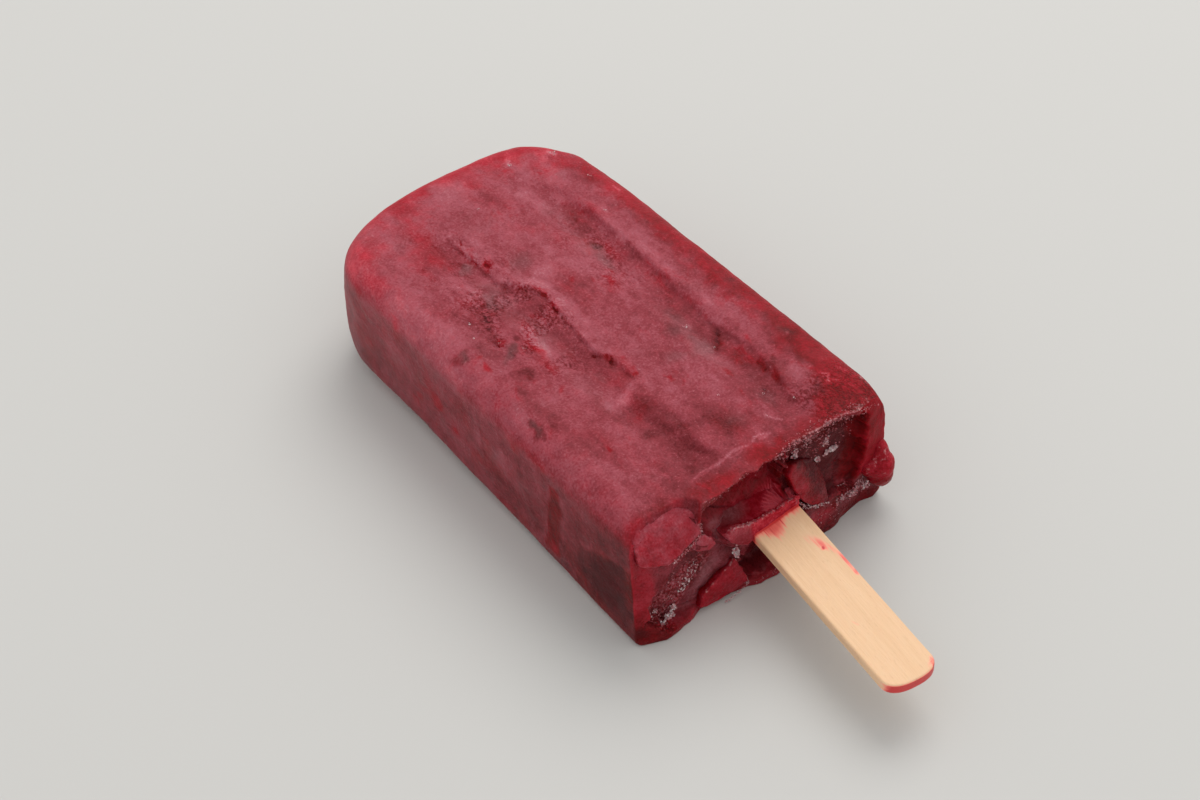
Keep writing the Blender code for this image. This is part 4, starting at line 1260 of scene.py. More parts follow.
def bead_of_ice():
    """The pink bead on the +y edge, drawn down to the floor, in to the bar and up along the edge.

    Radius = the bead's own radius + the sum over its lobes of how much * max(0, cosine of the
    angle to the lobe's direction)^power.
    """
    polar = np.linspace(0, math.pi, BEAD_ROWS)[:, None]
    turn = np.linspace(0, 2 * math.pi, BEAD_POINTS, endpoint=False)[None, :]
    away = np.stack([np.sin(polar) * np.cos(turn), np.sin(polar) * np.sin(turn),
                     np.cos(polar) * np.ones_like(turn)], axis=-1)
    radius = BEAD_RADIUS
    for more, direction, power in BEAD_LOBES:
        towards = away @ (np.asarray(direction) / np.linalg.norm(direction))
        radius = radius + more * np.maximum(towards, 0.0) ** power
    rows = BEAD_CENTRE + away * radius[..., None]
    rows = rows + away * (0.1 * rough(rows, 1.5, 3, 431))[..., None]
    upper = smooth(6.2, 8.0, rows[..., 2])
    fields = {
        "tone": blend(-0.25, 0.1, upper) + 0.25 * rough(rows, 1.4, 3, 433),
        "red": blend(1.3, 0.95, upper),
        "grey": np.zeros(radius.shape),
        "frost": 0.22 * upper * smooth(0.1, 0.6, rough(rows, 1.1, 3, 434)),
        "crumb": 0.3 * upper,
        "wet": blend(0.95, 0.5, upper),
    }
    return rows, fields


# ---------------------------------------------------------------- frost grains
ICOSAHEDRON_FACES = np.array((
    (0, 11, 5), (0, 5, 1), (0, 1, 7), (0, 7, 10), (0, 10, 11), (1, 5, 9), (5, 11, 4), (11, 10, 2),
    (10, 7, 6), (7, 1, 8), (3, 9, 4), (3, 4, 2), (3, 2, 6), (3, 6, 8), (3, 8, 9), (4, 9, 5), (2, 4, 11),
    (6, 2, 10), (8, 6, 7), (9, 8, 1)))


def icosahedron():
    """The twelve corners (0, 1, g), (1, g, 0), (g, 0, 1) with signs, g the golden ratio, unit size."""
    g = (1 + math.sqrt(5)) / 2
    corners = np.array([(-1, g, 0), (1, g, 0), (-1, -g, 0), (1, -g, 0), (0, -1, g), (0, 1, g), (0, -1, -g),
                        (0, 1, -g), (g, 0, -1), (g, 0, 1), (-g, 0, -1), (-g, 0, 1)])
    return corners / math.hypot(1, g)


def grains_mesh(name, centres, sizes, tints, seed):
    """One joined mesh of ice grains: each is an uneven twenty-sided lump, turned at random."""
    chance = np.random.default_rng(seed)
    count = len(centres)
    lumps = icosahedron()[None] * chance.uniform(0.65, 1.25, (count, 12, 1))
    lumps = lumps * chance.uniform(0.6, 1.3, (count, 1, 3))
    frames = np.linalg.qr(chance.normal(size=(count, 3, 3)))[0]
    lumps = np.einsum("nij,nkj->nki", frames, lumps) * sizes[:, None, None]
    points = centres[:, None] + lumps
    faces = ICOSAHEDRON_FACES[None] + 12 * np.arange(count)[:, None, None]
    flipped = np.linalg.det(frames) < 0
    faces = np.where(flipped[:, None, None], faces[..., ::-1], faces)
    mesh = bpy.data.meshes.new(name)
    mesh.from_pydata(to_frame(points.reshape(-1, 3)), [], faces.reshape(-1, 3))
    add_fields(mesh, {"tint": np.repeat(tints, 12)})
    return scene_object(name, mesh)


# Fields of grains on the broken face: outline in y, z, how many, smallest and largest radius,
# palest tint
GRAIN_FIELDS = (
    (((-23.4, 4.8), (-20.6, 1.4), (-17.6, 2.2), (-14.2, 6), (-11, 9.4), (-12, 12), (-18, 11.6),
      (-20.4, 8)), 240, 0.06, 0.2, 0.42),
    (((-17, 5), (-14.2, 6), (-12.2, 8.6), (-13, 10.4), (-16.4, 8.6)), 70, 0.1, 0.24, 0.85),
    (((3.2, 20.2), (19.6, 20.2), (20.4, 23.6), (13, 24.3), (3.2, 24.3)), 360, 0.06, 0.22, 0.38),
    (((4.4, 16), (14, 16.5), (19.6, 17), (19.6, 20.8), (4.4, 20.8)), 130, 0.06, 0.18, 0.36),
    (((15.4, 4.2), (22, 4), (22, 6.6), (15.4, 6.4)), 200, 0.08, 0.24, 0.62),
    (((-8, 20), (3.2, 19), (3.2, 24), (-8, 24)), 60, 0.06, 0.16, 0.25),
    (((-12.6, 21), (4.8, 21), (4.8, 24.2), (-12.6, 24.2)), 110, 0.05, 0.13, 0.35),
    (((-7, 0.9), (-2, 0.9), (5, 0.6), (5, 1.6), (-7, 1.8)), 60, 0.06, 0.16, 0.4),
    (((9, 1.2), (20, 1), (22, 5), (9, 6)), 90, 0.06, 0.15, 0.45),
)
# Rows of grains along edges: chain of x, y, z, how many, spread, smallest and largest radius, tint
GRAIN_EDGES = (
    (((0.2, -13, 20.3), (1, -13.3, 18.8), (1.5, -15.9, 18), (1.9, -18.6, 17.3), (2, -20.3, 17)),
     130, 0.14, 0.05, 0.14, 0.6),
    (((1, -4.2, 1.7), (1.1, -5.9, 1.1), (1.2, -7.6, 0.8), (1.2, -9.2, 0.5)), 90, 0.1, 0.06, 0.15, 0.85),
    (((-0.5, 7.4, 10.9), (-0.4, 8.7, 9.1), (-0.5, 11.4, 7.8), (-0.6, 13.4, 7.2)),
     110, 0.16, 0.06, 0.17, 0.85),
    (((0, -7.2, 14.4), (0.1, -6.2, 14.9), (0.1, -4.6, 14.4), (0.1, -3.6, 14), (0.1, -2, 13.5),
      (0, 0.3, 13.6), (0, 2.5, 13.3), (-0.1, 4.2, 13.5), (-0.2, 6.1, 13.3)), 150, 0.13, 0.05, 0.14, 0.4),
    (((0.6, -12, 24.3), (0.8, -9.8, 24.4), (0.4, -7.8, 24.4), (0.1, -5.7, 24.4), (-0.4, -3.6, 24.4),
      (0.2, -1.8, 24.4), (-0.5, 0, 24.4), (-0.3, 2.4, 24.4)), 80, 0.14, 0.04, 0.1, 0.42),
    (((-0.3, 2.4, 24.4), (-0.8, 4.5, 24.4), (-1.1, 6.8, 24.4), (-0.8, 9, 24.4), (-0.9, 11.4, 24.4),
      (-1.1, 13.2, 24.4), (-0.8, 15.4, 24.4), (-0.4, 18.2, 24.3), (-0.1, 20.3, 24.1)),
     400, 0.22, 0.05, 0.18, 0.5),
    (((-1.2, 5, 24.5), (-1.8, 9, 24.5), (-2.2, 12.4, 24.5), (-2, 15.6, 24.5), (-1.4, 19, 24.4)),
     260, 0.36, 0.04, 0.13, 0.5),
    (((-0.4, 20.6, 24), (-0.9, 22.4, 23.2), (-1.6, 24.4, 21.4)), 60, 0.16, 0.04, 0.11, 0.6),
    (((-1.2, 22.6, 23.6), (-4, 22.9, 23.6), (-8, 23.1, 23.7), (-12.5, 23, 23.7)),
     170, 0.3, 0.04, 0.1, 0.6),
)
# Loose white tufts: centre, spread in x, y, z, how many, smallest and largest radius, tint
TUFTS = (
    ((0.35, -6.1, 9.6), (0.25, 0.45, 0.95), 90, 0.12, 0.3, 1),
    ((-2.5, 15.1, 16.5), (0.15, 1.1, 0.4), 90, 0.14, 0.34, 0.95),
    ((-2.5, 12.6, 15.9), (0.15, 0.45, 0.4), 36, 0.12, 0.28, 0.9),
    ((-2.5, 14.2, 18.9), (0.15, 0.5, 0.8), 50, 0.1, 0.26, 0.75),
    ((-2.5, 7.9, 20), (0.15, 0.6, 0.8), 60, 0.1, 0.26, 0.7),
    ((-2.5, 10.6, 21.4), (0.15, 1.2, 0.6), 50, 0.08, 0.22, 0.6),
    ((-0.9, -17.8, 3.5), (0.2, 0.42, 0.55), 50, 0.12, 0.28, 1),
    ((-0.7, -18.8, 2.5), (0.2, 0.6, 0.55), 70, 0.12, 0.3, 1),
    ((-0.5, -20.2, 1.7), (0.2, 0.6, 0.45), 70, 0.12, 0.3, 1),
    ((-0.9, -22.6, 4.6), (0.2, 0.55, 0.4), 40, 0.1, 0.24, 0.95),
    ((-0.9, -21.3, 4.9), (0.2, 0.4, 0.25), 24, 0.08, 0.2, 0.9),
    ((-1, 21.2, 5.6), (0.25, 0.6, 0.6), 60, 0.1, 0.24, 0.8),
    ((-1.2, 19, 5.2), (0.25, 0.7, 0.5), 60, 0.1, 0.24, 0.7),
)
# Single specks on the broad face: x, y
SPECKS = (
    (-33.2, 9.6), (-33, 10.2), (-32.7, 9.9), (-21.2, 21.5), (-13.8, 10.9), (-13, 9.9), (-48.7, -15.8),
    (-55.6, -16.9), (-52, -18.4), (-73, 20.2), (-64, 16.8), (-16.8, 4), (-8.4, 7), (-82.4, 18.8),
    (-81.6, 19), (-82, 19.3), (-86.6, 12.7), (-85.8, 12.2), (-85, 11.8), (-84.2, 11.3), (-83.9, 11.5),
    (-67.6, 22), (-67, 22.1), (-88, -1.6), (-45.2, -13.4), (-26.4, 10.8), (-9, 13.1), (-77.8, 0.4),
)


def inside_outline(y, z, corners):
    """True inside an outline of any shape: a ray to +y crosses its edges an odd number of times."""
    inside = np.zeros(y.shape, dtype=bool)
    for (ay, az), (by, bz) in zip(corners, corners[1:] + corners[:1]):
        crosses = (az > z) != (bz > z)
        at = ay + (z - az) * (by - ay) / np.where(bz == az, 1e-9, bz - az)
        inside ^= crosses & (y < at)
    return inside


def frost_grains():
    """All the frost grains: scattered over outlines, strewn along edges, heaped in tufts, and specks.

    A grain's radius is low + (high - low) * c^2.2 and its tint is the field's times a number from
    0.35 to 1, c and that number being random.
    """
    chance = np.random.default_rng(77)
    centres, sizes, tints = [], [], []

    def add(places, low, high, tint):
        """Puts a grain at each place, with a size and tint of its own."""
        share = chance.random(len(places)) ** 2.2
        centres.append(places)
        sizes.append(low + (high - low) * share)
        tints.append(tint * chance.uniform(0.35, 1.0, len(places)))

    for outline, count, low, high, tint in GRAIN_FIELDS:
        y0, z0 = np.min(outline, axis=0)
        y1, z1 = np.max(outline, axis=0)
        y = chance.uniform(y0, y1, count * 5)
        z = chance.uniform(z0, z1, count * 5)
        clumps = rough(on_end(y, z), 1.5, 2, 501)
        keep = inside_outline(y, z, outline) & (clumps > chance.uniform(-0.9, 0.6, y.shape))
        y, z = y[keep][:count], z[keep][:count]
        x = end_relief(y, z) + 0.04
        add(np.stack([x, y, z], axis=-1), low, high, tint)
    for chain, count, spread, low, high, tint in GRAIN_EDGES:
        chain = np.asarray(chain)
        run = run_along(chain)
        at = chance.uniform(0, run[-1], count)
        places = np.stack([np.interp(at, run, chain[:, k]) for k in range(3)], axis=-1)
        add(places + chance.normal(0, spread, places.shape), low, high, tint)
    for centre, spread, count, low, high, tint in TUFTS:
        places = np.asarray(centre) + chance.normal(0, 1, (count, 3)) * np.asarray(spread) * 0.6
        add(places, low, high, tint)
    x, y = np.array(SPECKS).T
    here = np.stack([x, y, along_table(x, ((-91.0, TIP_THICKNESS), (0.0, THICKNESS)))], axis=-1)
    up = np.broadcast_to([0.0, 0.0, 1.0], here.shape)
    drop = 0.9 * smooth(20.5, 23.5, np.abs(y)) + 0.8 * smooth(-84.0, -88.5, x)
    here[:, 2] += skin_relief(here, up) - drop + 0.02
    for _ in range(5):
        add(here + chance.normal(0, 0.14, here.shape) * [1, 1, 0.15], 0.05, 0.13, 1.0)
    return grains_mesh("frost_grains", np.concatenate(centres), np.concatenate(sizes),
                       np.concatenate(tints), 78)


# ---------------------------------------------------------------- the stick
STICK_ALONG = np.array([math.cos(STICK_YAW) * math.cos(STICK_DIP), math.sin(STICK_YAW),
                        -math.sin(STICK_DIP)])
STICK_ALONG = STICK_ALONG / np.linalg.norm(STICK_ALONG)
STICK_ACROSS = np.array([-STICK_ALONG[1], STICK_ALONG[0], 0.0]) / math.hypot(*STICK_ALONG[:2])
STICK_UP = np.cross(STICK_ALONG, STICK_ACROSS)

# Juice soaked into the stick's upper face: along, across, two radii, turn, strength
STICK_JUICE = (
    (6.6, 2.6, 3.4, 1.7, 14, 0.7), (8.4, 3.3, 2.6, 1.3, 14, 0.5), (11, 4.3, 3.8, 1.1, 10, 0.6),
    (8.6, 2.8, 0.55, 0.42, 0, 1.2), (2.6, 4.9, 3.4, 0.22, 0, 0.5), (2, 3.6, 2.4, 0.2, 0, 0.4),
    (13.8, 4.4, 3.8, 1, 2, 0.75), (15.4, 4.4, 1, 0.6, 0, 0.5), (20, 4.7, 6, 0.7, 0, 0.35),
    (23.8, -1.6, 1.2, 0.8, 30, 0.5), (22, -3.4, 1.6, 0.8, 20, 0.25), (9, -4.8, 2.6, 0.5, 0, 0.35),
    (27, -4.4, 2.6, 0.6, 0, 0.14), (36.2, 3.9, 1.6, 0.9, -40, 0.55),
)


def stick_surface():
    """The stick as one closed grid: a rounded rectangle carried along, both ends turned in plan.

    At an end the outline is x = turn - reach * k and width * s with k^n + s^n = 1, as at the
    bar's tip, so the rounded edge runs on round the end.
    """
    top = [(t, 90.0, 1.0) for t in even_steps(22)]
    edge = [(1.0, 90.0 * (1 - t), 1.0) for t in even_steps(6)]
    wall = [(1.0, 0.0, 1 - 2 * t) for t in even_steps(7)]
    low_edge = [(1.0, -90.0 * t, -1.0) for t in even_steps(6)]
    low = [(1 - t, -90.0, -1.0) for t in np.linspace(0, 1, 23)]
    (out, angle, height), side = whole_ring(np.array(top + edge + wall + low_edge + low))
    angle = np.radians(angle)
    radius = STICK_EDGE_RADIUS
    across = ((STICK_HALF_WIDTH - radius) * out + radius * np.cos(angle)) * side
    up = (STICK_HALF_THICKNESS - radius) * height + radius * np.sin(angle)
    reach = (STICK_END_TURN - radius) * out + radius * np.cos(angle)
    s, k = round_end(22, STICK_END_POWER)
    first, last = STICK_SHOWN - STICK_LENGTH + STICK_END_TURN, STICK_SHOWN - STICK_END_TURN
    stations = np.concatenate([np.linspace(first, -3.0, 12), np.linspace(-2.8, last, 170)])[:, None]
    plain = np.ones_like(stations)
    along = np.concatenate([first - reach * k, stations * np.ones_like(across), (last + reach * k)[::-1]])
    widths = np.concatenate([s, plain, s[::-1]]) * across
    same = np.ones_like(along)
    local = np.stack([along, widths, same * up], axis=-1)
    worn = 0.03 * rough(local, (9.0, 1.2, 3.0), 3, 601) + 0.02 * rough(local, (14.0, 0.35, 3.0), 2, 602)
    outwards = np.stack([0.0 * same, np.cos(angle) * side * same, np.sin(angle) * same], axis=-1)
    local = local + worn[..., None] * outwards
    points = STICK_EXIT + local @ np.stack([STICK_ALONG, STICK_ACROSS, STICK_UP])
    return points, local


def stick_fields(local):
    """Where juice has soaked in, how worn the edges are, and the three places in the stick's frame."""
    along, across, up = parts(local)
    fibre = rough(local * [0.1, 1.0, 1.0], (1.0, 0.42, 1.0), 3, 611)
    fine = rough(local * [0.12, 1.0, 1.0], (1.0, 0.16, 1.0), 2, 612)
    start = -0.1 - 0.17 * across
    tongue = 2.5 * spot(across, 0.0, (-1.3, 0.0), (2.9, 1.0))
    tongue += 0.4 * spot(across, 0.0, (3.4, 0.0), (1.6, 1.0))
    soak = start + 1.6 + tongue + 0.55 * fibre + 0.45 * fine
    juice = 0.9 * smooth(1.0, -3.0, along - soak)
    juice += 0.25 * smooth(0.3, 0.9, fine) * smooth(4.0, 0.5, along - start)
    juice += 0.5 * smooth(0.5, 0.05, along - start)
    wx, wy = along + 0.5 * fibre, across + 0.25 * fine
    juice += spots(wx, wy, STICK_JUICE) * (0.85 + 0.4 * fine) * smooth(-1.2, -0.2, up)
    end = STICK_SHOWN - 0.5 - 2.7 * np.abs(across / STICK_HALF_WIDTH) ** 2.5
    rim = smooth(-0.55, 0.25, along - end + 0.2 * fine)
    low = smooth(0.98, 0.55, up)
    juice += rim * (0.25 + 1.1 * low) * smooth(-5.2, -3.8, across + 0.2 * fibre)
    juice += 0.22 * smooth(0.9, 0.3, up) * smooth(0.1, 0.6, rough(local, (5.0, 5.0, 5.0), 2, 613))
    edge_wear = smooth(4.1, 4.75, np.abs(across)) * (0.5 + 0.5 * fibre)
    return {"juice": juice, "along": along, "across": across, "wear": edge_wear, "height": up}


# ---------------------------------------------------------------- materials
class Nodes:
    """Short calls for adding nodes to one material."""

    def __init__(self, name):
        self.material = bpy.data.materials.new(name)
        self.material.use_nodes = True
        self.tree = self.material.node_tree
        self.shader = self.tree.nodes["Principled BSDF"]

    def link(self, value, socket):
        """Puts a constant or another node's output into a socket."""
        if isinstance(value, bpy.types.NodeSocket):
            self.tree.links.new(value, socket)
        else:
            socket.default_value = value

    def node(self, kind, output, inputs, **settings):
        """Adds a node with its settings and inputs, and gives one of its outputs."""
        node = self.tree.nodes.new("ShaderNode" + kind)
        for name, value in settings.items():
            setattr(node, name, value)
        for name, value in inputs.items():
            self.link(value, node.inputs[name])
        return node.outputs[output]

    def finish(self, **inputs):
        """Fills the shader's own sockets, whose names are written with _ for each space."""
        for name, value in inputs.items():
            self.link(value, self.shader.inputs[name.replace("_", " ")])
        return self.material

    def field(self, name):
        """A point attribute of the piece."""
        return self.node("Attribute", "Fac", {}, attribute_name=name)

    def place(self):
        """Object coordinates, in metres."""
        return self.node("TexCoord", "Object", {})

    def joined(self, x, y, z):
        """A vector from three numbers."""
        return self.node("CombineXYZ", "Vector", {"X": x, "Y": y, "Z": z})

    def sum(self, kind, first, second=0.0, third=0.0, clamp=False):
        """A Math node."""
        return self.node("Math", "Value", {0: first, 1: second, 2: third}, operation=kind, use_clamp=clamp)

    def minus(self, first, second):
        """first - second."""
        return self.sum("SUBTRACT", first, second)

    def times(self, first, second):
        """first * second."""
        return self.sum("MULTIPLY", first, second)

    def add(self, value, factor, base):
        """base + value * factor."""
        return self.sum("MULTIPLY_ADD", value, factor, base)

    def vector(self, kind, first, second):
        """A Vector Math node."""
        return self.node("VectorMath", "Vector", {0: first, 1: second}, operation=kind)

    def scaled(self, vector, factor):
        """A vector times a number."""
        return self.node("VectorMath", "Vector", {0: vector, "Scale": factor}, operation="SCALE")

    def noise(self, where, scale, detail, roughness, output="Fac"):
        """A Noise Texture node: its value, or its colour as a vector."""
        inputs = {"Vector": where, "Scale": scale, "Detail": detail, "Roughness": roughness}
        return self.node("TexNoise", output, inputs)

    def cells(self, where, scale):
        """Smooth cells: 0 in the middle of each grain, about 0.7 between grains."""
        inputs = {"Vector": where, "Scale": scale, "Smoothness": 0.35}
        return self.node("TexVoronoi", "Distance", inputs, feature="SMOOTH_F1")

    def step(self, value, low, high):
        """0 below low, 1 above high, smooth between."""
        inputs = {"Value": value, "From Min": low, "From Max": high}
        return self.node("MapRange", "Result", inputs, interpolation_type="SMOOTHSTEP")

    def ramp(self, value, stops):
        """A colour ramp of (place, red, green, blue) stops."""
        node = self.tree.nodes.new("ShaderNodeValToRGB")
        elements = node.color_ramp.elements
        for index, (place, *colour) in enumerate(stops):
            element = elements[index] if index < 2 else elements.new(place)
            element.position = place
            element.color = (*colour, 1.0)
        self.link(value, node.inputs["Fac"])
        return node.outputs["Color"]

    def mix(self, share, first, second):
        """A colour mix."""
        return self.node("Mix", "Result", {"Factor": share, "A": first, "B": second}, data_type="RGBA")

    def bump(self, height, strength, distance):
        """A Bump node's normal."""
        return self.node("Bump", "Normal", {"Strength": strength, "Distance": distance, "Height": height})


# Colour ramps, from the darkest and clearest tone to the palest
CLEAR_TO_FROSTED = ((0.0, 0.07, 0.005, 0.008), (0.25, 0.16, 0.016, 0.022), (0.5, 0.268, 0.041, 0.057),
                    (0.75, 0.362, 0.086, 0.113), (1.0, 0.445, 0.149, 0.181))
DEEP_TO_BRIGHT_RED = ((0.0, 0.08, 0.0003, 0.001), (0.25, 0.17, 0.0008, 0.003), (0.5, 0.28, 0.004, 0.012),
                      (0.75, 0.39, 0.018, 0.034), (1.0, 0.56, 0.06, 0.086))
CLOUDY_GREY = ((0.0, 0.045, 0.012, 0.013), (0.5, 0.188, 0.072, 0.081), (1.0, 0.348, 0.176, 0.194))
GRAIN_TINTS = ((0.0, 0.2, 0.02, 0.028), (0.35, 0.42, 0.12, 0.14), (0.7, 0.62, 0.4, 0.42),
               (1.0, 0.76, 0.68, 0.69))
BIRCH = ((0.0, 0.68, 0.42, 0.235), (0.35, 0.77, 0.495, 0.29), (0.65, 0.81, 0.535, 0.325),
         (1.0, 0.84, 0.585, 0.375))
SOAKED_BIRCH = ((0.0, 0.82, 0.5, 0.32), (0.35, 0.92, 0.38, 0.26), (0.7, 0.88, 0.18, 0.14),
                (1.0, 0.62, 0.034, 0.034))
FROST_WHITE = (0.66, 0.44, 0.46, 1.0)
BIRCH_PORE = (0.52, 0.3, 0.16, 1.0)
WORN_EDGE = (0.5, 0.3, 0.18, 1.0)
FLOOR_COLOUR = (0.56, 0.56, 0.55, 1.0)
IOR_OF_ICE = 1.31


def juice_ice(name, glow):
    """Frozen juice: frosted to clear by its fields, mottled, grained where crumbly, glossy where wet."""
    n = Nodes(name)
    place = n.place()
    swirl = n.noise(place, 420.0, 2.0, 0.5, "Color")
    bent = n.vector("ADD", place, n.scaled(n.vector("SUBTRACT", swirl, (0.5, 0.5, 0.5)), 0.0011))
    mottle = n.noise(bent, 620.0, 5.0, 0.66)
    grain = n.noise(bent, 2500.0, 3.0, 0.65)
    cells = n.add(n.cells(bent, 2300.0), 0.8, n.times(n.cells(bent, 1050.0), 0.3))
    mottle_0 = n.minus(mottle, 0.5)
    grain_0 = n.minus(grain, 0.5)
    wet = n.sum("ADD", n.field("wet"), clamp=True)
    crumb = n.sum("ADD", n.field("crumb"), clamp=True)
    gaps = n.times(n.minus(cells, 0.43), crumb)
    drawn_out = n.vector("MULTIPLY", bent, (0.6, 1.0, 1.0))
    squiggle = n.sum("ABSOLUTE", n.minus(n.noise(drawn_out, 800.0, 3.0, 0.6), 0.5))
    vein = n.times(n.step(squiggle, 0.075, 0.012), crumb)
    cut = n.step(n.add(grain_0, 0.8, n.add(mottle_0, 0.5, n.field("crack"))), 0.74, 0.95)

    tone = n.add(mottle_0, 0.95, n.field("tone"))
    tone = n.add(grain_0, 1.25, tone)
    tone = n.add(gaps, 1.25, tone)
    tone = n.add(vein, -0.5, tone)
    tone = n.add(cut, -0.6, tone)
    level = n.add(tone, 0.5, 0.5)
    red = n.add(mottle_0, 0.5, n.field("red"))
    red = n.add(grain_0, -0.25, red)
    red = n.add(gaps, -0.7, red)
    red = n.add(vein, 0.45, red)
    red = n.add(cut, 0.75, red)
    grey = n.add(grain_0, 0.3, n.field("grey"))
    frosted, bright = n.ramp(level, CLEAR_TO_FROSTED), n.ramp(level, DEEP_TO_BRIGHT_RED)
    colour = n.mix(n.step(red, 0.0, 0.95), frosted, bright)
    colour = n.mix(n.times(n.step(grey, 0.05, 1.0), 0.62), colour, n.ramp(level, CLOUDY_GREY))

    pale = n.times(n.times(n.minus(1.0, wet), 0.11), n.step(red, 1.0, 0.4))
    speck = n.times(n.step(grain, 0.62, 0.74), pale)
    frost = n.add(grain_0, 0.9, n.field("frost"))
    frost = n.times(n.step(frost, 0.08, 0.75), n.step(n.field("frost"), 0.0, 0.12))
    colour = n.mix(n.sum("MAXIMUM", frost, speck), colour, FROST_WHITE)
    matt = n.add(grain_0, 0.25, n.add(wet, -0.42, 0.62))

    rise = n.add(grain, n.add(wet, -0.3, 0.5), n.times(mottle, 0.7))
    rise = n.add(gaps, -0.9, rise)
    rise = n.add(vein, -0.4, rise)
    rise = n.add(cut, -0.6, rise)
    return n.finish(
        Base_Color=colour,
        Roughness=n.sum("MAXIMUM", matt, 0.16),
        IOR=IOR_OF_ICE,
        Specular_IOR_Level=0.22,
        Subsurface_Weight=glow,
        Subsurface_Radius=(1.0, 0.16, 0.18),
        Subsurface_Scale=0.0024,
        Normal=n.bump(rise, 0.55, 0.00045),
    )


def frost_crystal():
    """Frost grains: pale pink to white, a little glossy."""
    n = Nodes("frost crystal")
    cloud = n.noise(n.place(), 2600.0, 2.0, 0.6)
    level = n.add(n.minus(cloud, 0.5), 0.5, n.field("tint"))
    return n.finish(
        Base_Color=n.ramp(level, GRAIN_TINTS),
        Roughness=0.38,
        IOR=IOR_OF_ICE,
        Subsurface_Weight=0.5,
        Subsurface_Radius=(1.0, 0.5, 0.5),
        Subsurface_Scale=0.0008,
        Normal=n.bump(cloud, 0.3, 0.0002),
    )


def birch_wood():
    """Birch: pale tan with long fine fibres, faint darker flecks, and juice soaked along them."""
    n = Nodes("birch wood")
    along, across, height = n.field("along"), n.field("across"), n.field("height")
    where = n.joined(n.times(along, 0.045), across, height)
    fibres = n.noise(where, 4.2, 5.0, 0.68)
    bands = n.noise(where, 0.55, 3.0, 0.5)
    pores = n.noise(n.joined(n.times(along, 0.5), n.times(across, 3.6), height), 1.5, 2.0, 0.5)
    fibre_0 = n.minus(fibres, 0.5)
    wood = n.ramp(n.add(fibre_0, 0.9, n.add(bands, 0.7, 0.18)), BIRCH)
    wood = n.mix(n.times(n.step(pores, 0.6, 0.72), 0.22), wood, BIRCH_PORE)
    wood = n.mix(n.times(n.step(n.field("wear"), 0.2, 1.0), 0.35), wood, WORN_EDGE)
    juice = n.field("juice")
    share = n.times(n.step(n.add(fibre_0, 0.35, juice), 0.0, 1.25), n.step(juice, 0.0, 0.25))
    return n.finish(
        Base_Color=n.mix(n.step(share, 0.0, 0.45), wood, n.ramp(share, SOAKED_BIRCH)),
        Roughness=n.add(share, -0.22, 0.6),
        Subsurface_Weight=0.12,
        Subsurface_Radius=(1.0, 0.6, 0.35),
        Subsurface_Scale=0.0006,
        Normal=n.bump(fibres, 0.28, 0.00022),
    )


def floor_material():
    """Matt pale floor."""
    return Nodes("pale floor").finish(Base_Color=FLOOR_COLOUR, Roughness=0.9)


# ---------------------------------------------------------------- stage, light and camera
VIEW_AZIMUTH = math.radians(55.551)
VIEW_HEIGHT = math.radians(44.107)
VIEW_ROLL = math.radians(-3.107)
VIEW_DISTANCE = 545.7
VIEW_AIM = np.array([-48.46, 3.05, 0.0])
LENS = 97.13
SENSOR = 36.0
FLOOR_SIZE = 4.0              # metres, as are the light's size and distance
LIGHT_TOWARDS = (-0.36, 0.59, 1.0)
LIGHT_DISTANCE = 1.0
LIGHT_SIZE = 0.8
LIGHT_WATTS = 4.6
LIGHT_COLOUR = (1.0, 0.97, 0.93)
ROOM_COLOUR = (1.0, 0.99, 0.97, 1.0)
ROOM_STRENGTH = 0.85


def make_stage():
    """A pale floor that the pop lies on, reaching well outside the view."""
    bpy.ops.mesh.primitive_plane_add(size=FLOOR_SIZE)
    floor = bpy.context.object
    floor.name = "floor"
    floor.data.materials.append(floor_material())


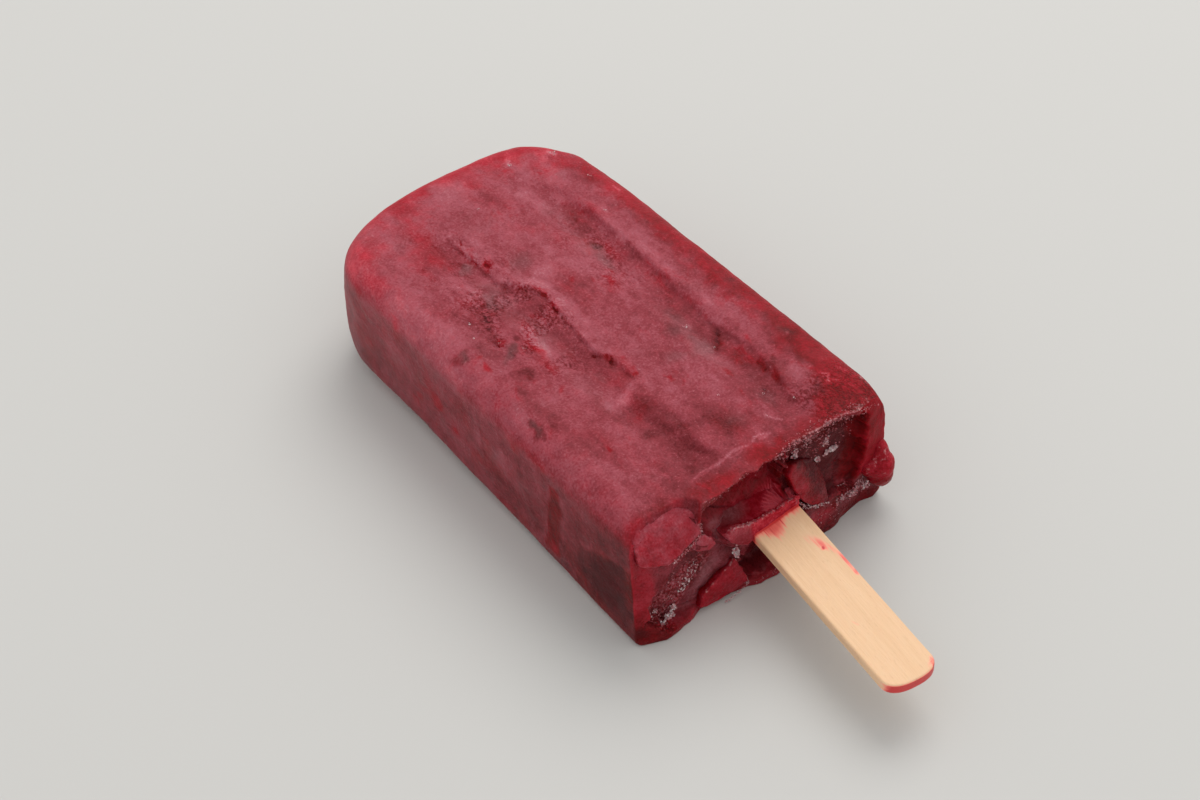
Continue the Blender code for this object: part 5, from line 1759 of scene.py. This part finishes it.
def make_camera():
    """Looks down at the pop from the stick's side, from a little over half a metre away."""
    a, e = VIEW_AZIMUTH, VIEW_HEIGHT
    back = Vector((math.sin(a) * math.cos(e), -math.cos(a) * math.cos(e), math.sin(e)))
    right = Vector((math.cos(a), math.sin(a), 0.0))
    up = back.cross(right)
    turned_right = right * math.cos(VIEW_ROLL) + up * math.sin(VIEW_ROLL)
    turned_up = up * math.cos(VIEW_ROLL) - right * math.sin(VIEW_ROLL)
    camera = bpy.data.objects.new("camera", bpy.data.cameras.new("camera"))
    camera.data.lens = LENS
    camera.data.sensor_width = SENSOR
    place = Matrix((turned_right, turned_up, back)).transposed().to_4x4()
    place.translation = Vector(to_frame(VIEW_AIM)) + back * VIEW_DISTANCE * MM
    camera.matrix_world = place
    bpy.context.scene.collection.objects.link(camera)
    bpy.context.scene.camera = camera


def make_light():
    """A broad soft light above and behind, and a low even light from all round."""
    data = bpy.data.lights.new("softbox", "AREA")
    data.shape = "DISK"
    data.size = LIGHT_SIZE
    data.energy = LIGHT_WATTS
    data.color = LIGHT_COLOUR
    light = bpy.data.objects.new("softbox", data)
    direction = Vector(LIGHT_TOWARDS).normalized()
    light.location = direction * LIGHT_DISTANCE
    light.rotation_euler = direction.to_track_quat("Z", "Y").to_euler()
    bpy.context.scene.collection.objects.link(light)
    world = bpy.data.worlds.new("room")
    world.use_nodes = True
    background = world.node_tree.nodes["Background"]
    background.inputs["Color"].default_value = ROOM_COLOUR
    background.inputs["Strength"].default_value = ROOM_STRENGTH
    bpy.context.scene.world = world


def main():
    """Builds every piece, then the floor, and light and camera."""
    ice = juice_ice("frozen juice", 0.45)
    points, fields = bar_surface()
    finish_piece(grid_mesh("frozen_bar_ice", points, fields), "frozen_bar", ice)
    broken = {
        "corner_flake_ice": corner_flake(),
        "lower_chip_ice": lower_chip(),
        "slab_ice": slab_beside_stick(),
        "shoulder_lump_ice": shoulder_lump(),
        "stick_collar_ice": collar_over_stick(),
        "bead_ice": bead_of_ice(),
    }
    for name, (rows, piece_fields) in broken.items():
        finish_piece(grid_mesh(name, rows, piece_fields), None, ice)
    finish_piece(frost_grains(), None, frost_crystal())
    points, local = stick_surface()
    stick = grid_mesh("birch_stick", points, stick_fields(local), 0.002)
    finish_piece(stick, "stick", birch_wood())
    make_stage()
    make_light()
    make_camera()
    bpy.context.scene.view_settings.view_transform = "Standard"


main()
